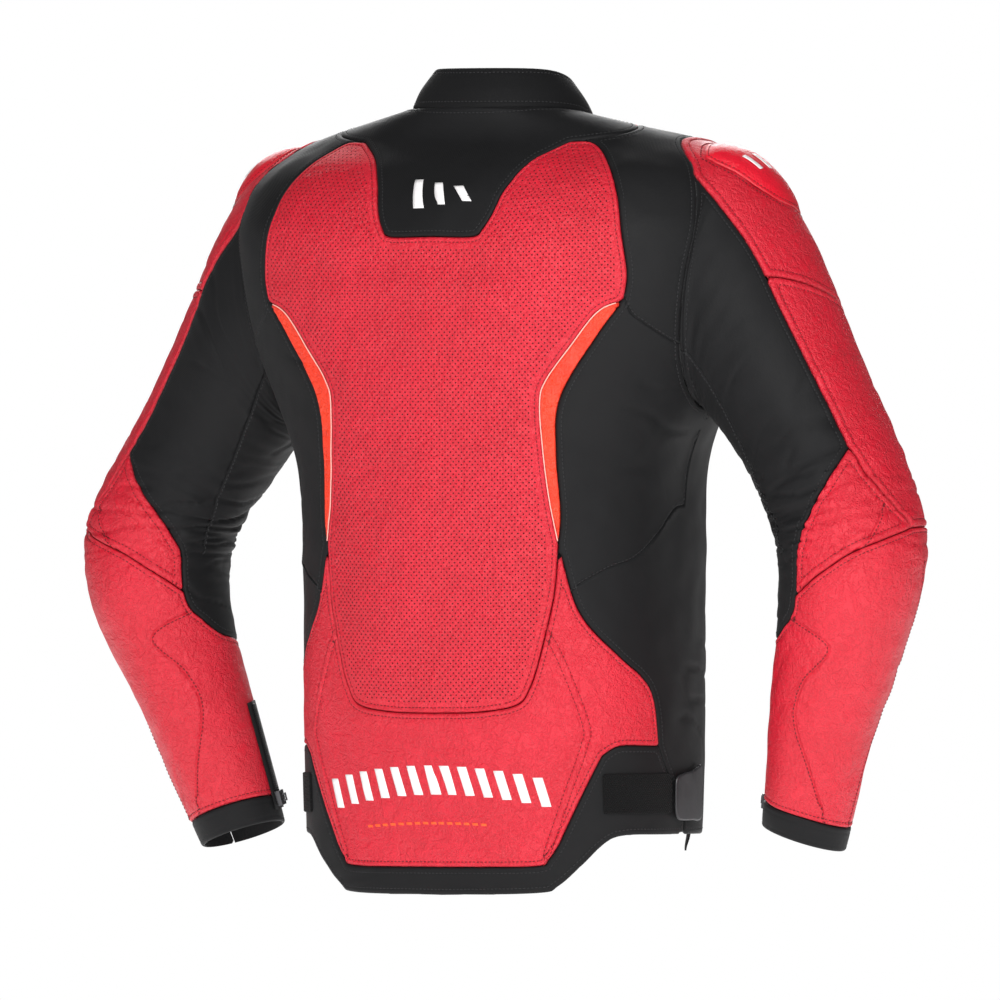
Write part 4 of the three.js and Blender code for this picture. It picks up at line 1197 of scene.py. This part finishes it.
# %% Perforations
HOLE_PITCH, HOLE_ROWS, HOLE_MARGIN = 5.1, 2.7, 9.0
HOLE_WIDE, HOLE_DEEP = 0.0015, 0.00012
holes = []
for k, level in enumerate(np.arange(high(160), high(650), HOLE_ROWS)):
    turn = np.linspace(-1.5, 1.5, 901)
    line = body_at(turn, level)
    run = lengths(line)
    run -= run[len(run) // 2]
    reach_x = np.arange(-34, 35) * HOLE_PITCH + (k % 2) * HOLE_PITCH / 2
    a = np.interp(reach_x, run, turn)
    holes.append(np.stack([a, level + 3.0 * (reach_x / 150) ** 2], 1))
holes = np.vstack(holes)
far = body_lines.distance(on_body(holes))
inside_panel = inside(np.abs(holes[:, 0]), holes[:, 1], PANELS["back_perforated_panel"])
holes = holes[inside_panel & (far > HOLE_MARGIN)]
hole_at = on_body(holes)
hole_out = outwards(body_at, holes[:, 0], holes[:, 1], BODY_STEP)
hole_at = hole_at + hole_out * (body_wave(hole_at) + 0.3 + 0.02)[:, None]
# Each hole is a small dark disc lying on the leather, not an opening: its colour is partly the dark lining
# seen through a hole, partly painted shade inside it
punch = stud_tree("perforations", hole_dark, 6, HOLE_WIDE, HOLE_WIDE, HOLE_DEEP)
upright = np.tile([0, 0, 1.0], (len(holes), 1))
dress(grown("perforations", punch, hole_at, (), {"out": hole_out, "run": upright}), None)

# %% [markdown]
# ## Pieces laid on the surface
# The collar, the cups, the waist straps, the linings and the armour are each one outline on a
# surface. One function cuts such an outline out of a fresh grid, as the panels were cut.

# %% Outlines on a surface
def rounded(a0, a1, b0, b1, ra, rb):
    """A rectangle of pattern coordinates with elliptical corners."""
    t = np.linspace(0, math.pi / 2, 7)
    corners = [(a1 - ra, b1 - rb, 0), (a0 + ra, b1 - rb, 1), (a0 + ra, b0 + rb, 2), (a1 - ra, b0 + rb, 3)]
    p = np.vstack([np.stack([ca + ra * np.cos(t + k * math.pi / 2), cb + rb * np.sin(t + k * math.pi / 2)], 1)
                   for ca, cb, k in corners])
    return np.vstack([p, p[:1]])


def patch(name, surface, step, outline, roll, cell=3.0, **how):
    """Cuts an outline out of a fresh grid on a surface. Returns the object, skin and triangles."""
    stretches = [np.linspace(p, q, 24, endpoint=False) for p, q in zip(outline[:-1], outline[1:])]
    fine = np.vstack(stretches + [outline[-1:]])
    (a0, b0), (a1, b1) = fine.min(0), fine.max(0)
    ma, mb = (a0 + a1) / 2, (b0 + b1) / 2
    a_values = even(lambda v: surface(v, mb), a0, a1, cell)
    b_values = even(lambda v: surface(ma, v), b0, b1, cell)
    da, db = a_values[1] - a_values[0], b_values[1] - b_values[0]
    a_values = np.concatenate([[a0 - da], a_values, [a1 + da]])
    b_values = np.concatenate([[b0 - db], b_values, [b1 + db]])
    points, tri = grid(a_values, b_values)
    d = Lines([surface(fine[:, 0], fine[:, 1])]).distance(surface(points[:, 0], points[:, 1]))
    signed = np.where(inside(points[:, 0], points[:, 1], fine), np.maximum(d, 0.01), -np.maximum(d, 0.3))
    made, tri = cut_panel(points, tri, signed, roll)
    piece, skin, turned = shaped(name, made, tri, surface, step, roll, **how)
    return piece, skin, turned, made


# %% Collar
collar_front = math.pi - math.asin((13.4 / 68) ** (2.1 / 2))
collar_edge = rounded(-collar_front, collar_front, at_height(676.6), at_height(712.6), 0.05, 4)
collar, skin, tri, made = patch("collar_sewn", collar_at, BODY_STEP, collar_edge, "collar", shell=4.0)
dress(collar, collar_black, replaces=["collar_shell", "collar_facing"])
declare(made, tri, collar_at)
collar_sewing = Thread()
collar_sewing.sew(skin, seam_edges(made[:, 2], tri, 6.0))
dress(collar_sewing.made("collar_stitches", black_stitch), None)

# %% [markdown]
# ## Shoulder cups and waist straps
# The cup is a moulded shell under the same leather. The strap grips a patch of loop pile on each
# side of the waist, and slides back to pull the jacket in.

# %% Cups
CUP_LINE = degrees([(0.42, 27), (0.75, 29), (1.14, 26), (1.47, 19), (1.70, 6), (1.72, -12), (1.6, -28),
                    (1.1, -36), (0.6, -35), (0.42, -20), (0.36, 4), (0.42, 27)])
for side_name, side in SIDES:
    skin_of = arm_surface(side)
    cup, skin, tri, made = patch("cup_" + side_name, skin_of, SLEEVE_STEP, CUP_LINE, "cup", 2.6,
                                 mirror=side < 0, shell=-0.5)
    dress(cup, cup_red, replaces=["shoulder_cup_" + side_name])
    cup_sewing = Thread()
    cup_sewing.sew(skin, seam_edges(made[:, 2], tri, 3.2))
    around = skin_of(CUP_LINE[:, 0], CUP_LINE[:, 1])
    facing = outwards(skin_of, CUP_LINE[:, 0], CUP_LINE[:, 1], SLEEVE_STEP)
    aside = unit(np.cross(np.gradient(around, axis=0), facing))
    aside *= np.sign(((around - around.mean(0)) * aside).sum(1))[:, None]
    welt = (around + aside * 3.2 + facing * 0.5)[:-1] * [side, 1, 1]
    cup_sewing.sew(welt, np.stack([np.arange(len(welt) - 1), np.arange(1, len(welt))], 1))
    dress(cup_sewing.made("cup_stitches_" + side_name, red_stitch), None)

# %% Waist straps
TAB_FROM = math.radians(83)
GRIP_LINE = [(0.004, 78), (0.006, 94), (0.02, 103), (0.07, 106), (0.15, 109), (0.215, 112.5), (0.26, 113),
             (0.27, 90), (0.265, 67), (0.16, 66), (0.06, 66), (0.018, 69), (0.004, 78)]
grip_edge = curved([(TAB_FROM + turn, at_height(h)) for turn, h in GRIP_LINE], 0.6)
loop_edge = rounded(math.radians(50), TAB_FROM, at_height(72), at_height(107), 0.02, 2)
for side_name, side in SIDES:
    loop, *_ = patch("loop_patch_" + side_name, body_at, BODY_STEP, loop_edge * [side, 1], "patch", 2.6,
                     shell=-0.1, lift=0.35)
    dress(loop, loop_pile, replaces=["waist_loop_patch_" + side_name])
    grip, *_ = patch("grip_" + side_name, body_at, BODY_STEP, grip_edge * [side, 1], "patch", 2.2,
                     shell=0, lift=3.5)
    dress(grip, tab_rubber, "waist_tab_" + side_name, replaces=["waist_tab_" + side_name])

# %% [markdown]
# ## Swept pieces
# Piping, zip tapes and the hanger loop keep one section all along a line.

# %% Sweeps
def sweep(name, line, across, up, section):
    """Moves a closed section (across, up) along a line and caps its ends."""
    line, n = np.asarray(line, float), len(section)
    points = (line[:, None] + section[None, :, :1] * across[:, None]
              + section[None, :, 1:] * up[:, None]).reshape(-1, 3)
    faces = []
    for i in range(len(line) - 1):
        for j in range(n):
            k = (j + 1) % n
            faces.append((i * n + j, (i + 1) * n + j, (i + 1) * n + k, i * n + k))
    faces.append(tuple(range(n)))
    faces.append(tuple((len(line) - 1) * n + j for j in reversed(range(n))))
    return mesh_object(name, points, faces)


def frames(line, out):
    """Unit vectors across a line and out of it."""
    run = unit(np.gradient(line, axis=0))
    across = unit(np.cross(out, run))
    return across, np.cross(run, across), run


def round_section(radius, sides=8):
    t = np.arange(sides) / sides * 2 * math.pi
    return np.stack([radius * np.cos(t), radius * np.sin(t)], 1)


for side_name, side in SIDES:
    line = seam["strap_inner"][6:-3:3] * [side, 1]
    out = outwards(body_at, line[:, 0], line[:, 1], BODY_STEP)
    at = on_body(line)
    at = at + out * (body_wave(at) + 0.1)[:, None]
    across, up, _ = frames(at, out)
    dress(sweep("strip_piping_" + side_name, at, across, up, round_section(0.55)), piping_pale)

# %% Tail of the hem tape
TAIL_X, TAIL_TOP, TAIL_LOW = -131.0, 56.0, 39.0
tail_h = np.linspace(TAIL_TOP, TAIL_LOW, 9)
tail_a = float(body_angle(np.array(TAIL_X), high(TAIL_TOP), False))
tail_y = body_at(np.array(tail_a), high(TAIL_TOP))[1]
tail_line = np.stack([TAIL_X + 1.5 * np.sin(tail_h / 5), np.full(9, tail_y + 1.5), high(tail_h)], 1)
taper = np.interp(np.arange(9), [0, 3, 8], [3.4, 2.6, 0.8])
tail_across, tail_up, _ = frames(tail_line, np.tile([-0.6, -0.8, 0], (9, 1)))
tail = sweep("hem_tape_tail", tail_line, tail_across * taper[:, None], tail_up,
             np.array([(-1, -0.5), (1, -0.5), (1, 0.5), (-1, 0.5)]))
dress(tail, zip_tape)

# %% Hanger loop
turn = np.linspace(-math.pi / 2, math.pi / 2, 25)
loop_line = np.stack([26 * np.sin(turn), np.full(25, 54.0), at_height(668) - 15 * np.cos(turn)], 1)
loop_run = unit(np.gradient(loop_line, axis=0))
loop_across = np.tile([0, 1.0, 0], (25, 1))
loop_up = np.cross(loop_run, loop_across)
tape_section = np.array([(-2, -1.0), (2, -1.0), (2.2, -0.6), (2.2, 0.6), (2, 1.0), (-2, 1.0),
                         (-2.2, 0.6), (-2.2, -0.6)])
dress(sweep("hanger_tape", loop_line, loop_across, loop_up, tape_section), stretch_black,
      replaces=["hanger_loop"])

# %% [markdown]
# ## Zips
# A zip is two woven tapes with a row of moulded teeth on each. The teeth of the two rows stand
# half a pitch apart, so that they lock.

# %% Zips
TOOTH_PITCH = 1.9
tooth = stud_tree("teeth", zip_teeth_black, 0, 0.0033, 0.00115, 0.0022)


def zip_run(name, line, out, half, low, top, tooth_lift, body, nodes):
    across, up, run = frames(line, out)
    section = np.array([(-half, low), (half, low), (half, top - 0.15), (half - 0.3, top), (2.6, top),
                        (2.2, top + 0.35), (-2.2, top + 0.35), (-2.6, top), (0.3 - half, top),
                        (-half, top - 0.15)])
    dress(sweep(name + "_tape", line, across, up, section), zip_tape, body, [nodes[0]])
    length = lengths(line)
    places = np.arange(3, length[-1] - 2.5, TOOTH_PITCH / 2)
    pick = lambda v: np.stack([np.interp(places, length, v[:, k]) for k in range(3)], 1)
    swing = np.where(np.arange(len(places)) % 2, 1.05, -1.05)[:, None]
    at = pick(line) + pick(across) * swing + pick(up) * tooth_lift
    teeth = grown(name + "_teeth", tooth, at, (), {"out": pick(up), "run": pick(run)})
    dress(teeth, None, body, nodes[1:])


zip_z = np.linspace(at_height(73.2), at_height(670.8), 60)
front = np.stack([np.zeros(60), front_line(zip_z), zip_z], 1)
radial = unit(np.stack([np.zeros(60), front_line(zip_z) - ZIP_PIVOT[0], zip_z - ZIP_PIVOT[1]], 1))
zip_run("front_zip_run", front, radial, 13, -2.4, -0.4, 1.1, None,
        ["front_zip_tape", "front_zip_teeth"])


def straight_zip(name, a, b, out, body, node):
    line = np.linspace(a, b, 12)
    zip_run(name, line, np.tile(out, (12, 1)), 9.1, -1.2, -0.35, 1.1, body, [node])


POCKET_TOP, POCKET_LENGTH, POCKET_LIFT = at_height(262), 118, 3.1
CUFF_LENGTH = 96
for side_name, side in SIDES:
    ends = []
    for z in (POCKET_TOP - POCKET_LENGTH, POCKET_TOP):
        a = float(body_angle(np.array(92.0), np.array(z), False))
        n = outwards(body_at, np.array(a), np.array(z), BODY_STEP)
        ends.append(body_at(np.array(a), np.array(z)) + n * POCKET_LIFT)
    straight_zip("pocket_run_" + side_name, ends[0] * [side, 1, 1], ends[1] * [side, 1, 1], n * [side, 1, 1],
                 None, "pocket_zip_" + side_name)
    cuff_angle = np.array(math.radians(186))
    low, far_end = (sleeve_at(cuff_angle, np.array(r)) for r in (9.88, 8.75))
    n = outwards(sleeve_at, cuff_angle, np.array(9.4), SLEEVE_STEP)
    up = (far_end - low) / np.linalg.norm(far_end - low)
    low = low + n * 1.9
    mirror = [side, 1, 1]
    straight_zip("cuff_run_" + side_name, low * mirror, (low + up * CUFF_LENGTH) * mirror, n * mirror,
                 "forearm_" + side_name, "cuff_zip_" + side_name)

# %% [markdown]
# ## Cuff bands, lining and armour
# What is inside shows at the neck, the hem and the cuffs: a mesh lining, and behind it soft
# armour at the shoulders, the elbows and the spine.

# %% Cuff bands and sleeve linings
LINING_LIFT, LINING_THICK = -7.9, 1.0
for side_name, side in SIDES:
    skin_of = arm_surface(side)
    ring_edge = lambda b0, b1: rounded(math.radians(-60), math.radians(299.9), b0, b1, 0.004, 0.004)
    band, skin, tri, made = patch("cuff_band_sewn_" + side_name, skin_of, SLEEVE_STEP,
                                  ring_edge(9.765, 9.99), "cloth", 2.6, mirror=side < 0)
    dress(band, stretch_black, "forearm_" + side_name, ["cuff_band_" + side_name])
    declare(made, tri, skin_of)
    lining, skin, tri, made = patch("sleeve_lining_" + side_name, skin_of, SLEEVE_STEP, ring_edge(0.05, 9.85),
                                    "lining", 8.0, mirror=side < 0, lift=LINING_LIFT, shell=LINING_THICK)
    dress(lining, lining_black, bend="forearm_" + side_name,
          replaces=["sleeve_lining_upper_" + side_name, "sleeve_lining_lower_" + side_name])
    declare(made, tri, skin_of)

# %% Body lining
lining_angles = even(lambda a: body_at(a, high(400)), -math.pi, math.pi, 8)
lining_levels = even(lambda z: body_at(math.pi / 2, z), high(-4), high(660), 8)
layer, layer_tri = grid(lining_angles, lining_levels)
layer_at = on_body(layer)
hem_rise = np.array([0, 0, 16.0])
lining_seams = [on_body(seam[n] * [s, 1]) + rise for n, rise in
                (("armhole", 0), ("hem_back", hem_rise), ("hem_front", hem_rise), ("placket", [2, 0, 0]))
                for s in (1, -1)]
lining_seams = [line if i % 2 == 0 or i < 6 else line - [4, 0, 0] for i, line in enumerate(lining_seams)]
lining_top = at_height(654)
lining_seams.append(on_body(straight((-math.pi, lining_top), (math.pi, lining_top), 400)))
lining_lines = Lines(lining_seams)
outside = off_body(layer, layer_at, 16, 15.4) | (layer[:, 1] > lining_top)
d = lining_lines.distance(layer_at)
made, tri = cut_panel(layer, layer_tri, np.where(outside, -d, d), "lining")
piece, skin, tri = shaped("body_lining_hung", made, tri, body_at, BODY_STEP, "lining",
                          lift=LINING_LIFT, shell=LINING_THICK)
dress(piece, lining_black, replaces=["body_lining"])
declare(made, tri, body_at)

# %% Armour
def armour(name, surface, step, edge, lift, deep, body, node, mirror=False):
    pad, *_ = patch(name, surface, step, edge, "pad", 6.0, lift=lift, shell=deep, mirror=mirror)
    dress(pad, armour_foam, body, [node])


armour("spine_armour", body_at, BODY_STEP, rounded(-0.36, 0.36, at_height(200), at_height(545), 0.14, 40),
       -15.3, 8.6, None, "back_protector")
for side_name, side in SIDES:
    for part, low, top, body in (("shoulder", 1.2, 2.3, None), ("elbow", 5.25, 6.35, "forearm_" + side_name)):
        edge = rounded(math.radians(-28), math.radians(58), low, top, 0.3, 0.25)
        armour(f"{part}_armour_{side_name}_pad", sleeve_at, SLEEVE_STEP, edge, -12.2, 7.6, body,
               f"{part}_armour_{side_name}", side < 0)

# %% [markdown]
# ## Printed marks
# Plain bars stand where such a jacket carries a print: they say nothing.

# %% Prints
def bars(name, surface, step, centres, tall, wide, slant, finish, lift,
         wave=body_wave, side=1):
    """Slanted bars, each a thin film with a fine grid that follows the surface under it."""
    u, v = (k.ravel() for k in np.meshgrid(np.linspace(-0.5, 0.5, 4), np.linspace(-0.5, 0.5, 9)))
    _, tri = grid(np.arange(4), np.arange(9))
    points, faces = [], []
    for (a, b), t in zip(centres, tall):
        around = np.linalg.norm(surface(a + 0.001, b) - surface(a - 0.001, b)) / 0.002
        along = np.linalg.norm(surface(a, b + 0.01) - surface(a, b - 0.01)) / 0.02
        pa, pb = a + (u * wide + v * 2 * slant) / around, b + v * t / along
        at = surface(pa, pb)
        out = outwards(surface, pa, pb, step)
        base = wave(at) + lift
        k = sum(len(p) for p in points)
        points += [at + out * (base + 0.16)[:, None], at + out * (base - 0.3)[:, None]]
        faces.append(closed_faces(tri, len(at)) + k)
    made = mesh_object(name, np.vstack(points) * [side, 1, 1], np.vstack(faces)[:, ::side])
    return dress(made, finish)


def row(xs, h, arch):
    """Places in a row across the back, arched by some millimetres at its ends."""
    reach_x = max(abs(x) for x in xs)
    return [(float(body_angle(x, high(h))), at_height(h) - arch * (x / reach_x) ** 2) for x in xs]


bars("lower_back_bars", body_at, BODY_STEP, row(np.linspace(-96, 104, 13), 101, 12), [25] * 13, 8.5, 3.5,
     pale_print, 0.3)
bars("lower_back_dashes", body_at, BODY_STEP, row(np.linspace(-44, 68, 15), 64, 3), [2.2] * 15, 5.2, 0.3,
     orange_print, 0.3)
bars("yoke_bars", body_at, BODY_STEP, row((-24, -2, 20), 603, 0), [15, 22, 29], 9, 5,
     pale_print, 0.12)
for side_name, side in SIDES:
    bars("cup_bars_" + side_name, arm_surface(side), SLEEVE_STEP,
         [(math.radians(t), 1.06) for t in (2, 13)], [17, 17], 5, -2, pale_print, 6.6,
         lambda at: np.zeros(len(at)), side)

# %% [markdown]
# ## Metal, floor and light
# The sliders and pulls keep their CAD shapes and get a blackened metal. The jacket hangs over a
# plain pale floor in a white room, lit softly from behind the camera and from above.

# %% Zip metal on the CAD pieces
for name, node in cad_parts.items():
    if "slider" in name or "pull" in name:
        node.data.materials.clear()
        node.data.materials.append(zip_metal)

# %% Floor and light
FLOOR_Z, FLOOR_HALF = -0.84, 3.0
floor = mesh_object("floor", np.array([(x * FLOOR_HALF, y * FLOOR_HALF, FLOOR_Z) for x, y in
                                       ((-1, -1), (1, -1), (1, 1), (-1, 1))]) / MM, [(0, 1, 2, 3)])
pale_floor = Finish("pale_floor")
floor.data.materials.append(pale_floor.set(
    Base_Color=(0.9, 0.9, 0.9, 1), Roughness=0.9, Emission_Color=(1, 1, 1, 1), Emission_Strength=0.8))
floor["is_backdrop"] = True

world = bpy.data.worlds.new("studio")
bpy.context.scene.world = world
world.use_nodes = True
sky = world.node_tree
ROOM_LIGHT = 0.13
room = sky.nodes["Background"]
room.inputs["Strength"].default_value = ROOM_LIGHT
room.inputs["Color"].default_value = (1, 1, 1, 1)
seen = sky.nodes.new("ShaderNodeBackground")
seen.inputs["Color"].default_value = (1, 1, 1, 1)
ray = sky.nodes.new("ShaderNodeLightPath")
choose = sky.nodes.new("ShaderNodeMixShader")
sky.links.new(ray.outputs["Is Camera Ray"], choose.inputs[0])
sky.links.new(room.outputs[0], choose.inputs[1])
sky.links.new(seen.outputs[0], choose.inputs[2])
sky.links.new(choose.outputs[0], sky.nodes["World Output"].inputs["Surface"])
bpy.context.scene.view_settings.view_transform = "Standard"

right = Vector((0, 0, 1)).cross(towards)


def softbox(name, place, size, power):
    lamp = bpy.data.lights.new(name, "AREA")
    lamp.shape, lamp.size, lamp.energy = "SQUARE", size, power
    made = bpy.data.objects.new(name, lamp)
    made.location = AIM + place
    made.rotation_euler = (-place).to_track_quat("-Z", "Y").to_euler()
    bpy.context.scene.collection.objects.link(made)


softbox("key", towards * 2.6 + Vector((0, 0, 1.25)), 1.5, 74)
softbox("fill", towards * 2.0 + right * 2.2 + Vector((0, 0, 0.7)), 1.2, 7)
softbox("far_fill", towards * 2.0 - right * 2.2 + Vector((0, 0, 0.7)), 1.2, 7)
softbox("front", -towards * 2.5 + Vector((0, 0, 1.3)), 1.6, 62)

# %% Sizes, and the end
low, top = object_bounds()
print("box", [round(b - a, 4) for a, b in zip(low, top)], "cad", [round(b - a, 4) for a, b in zip(*cad_box)])
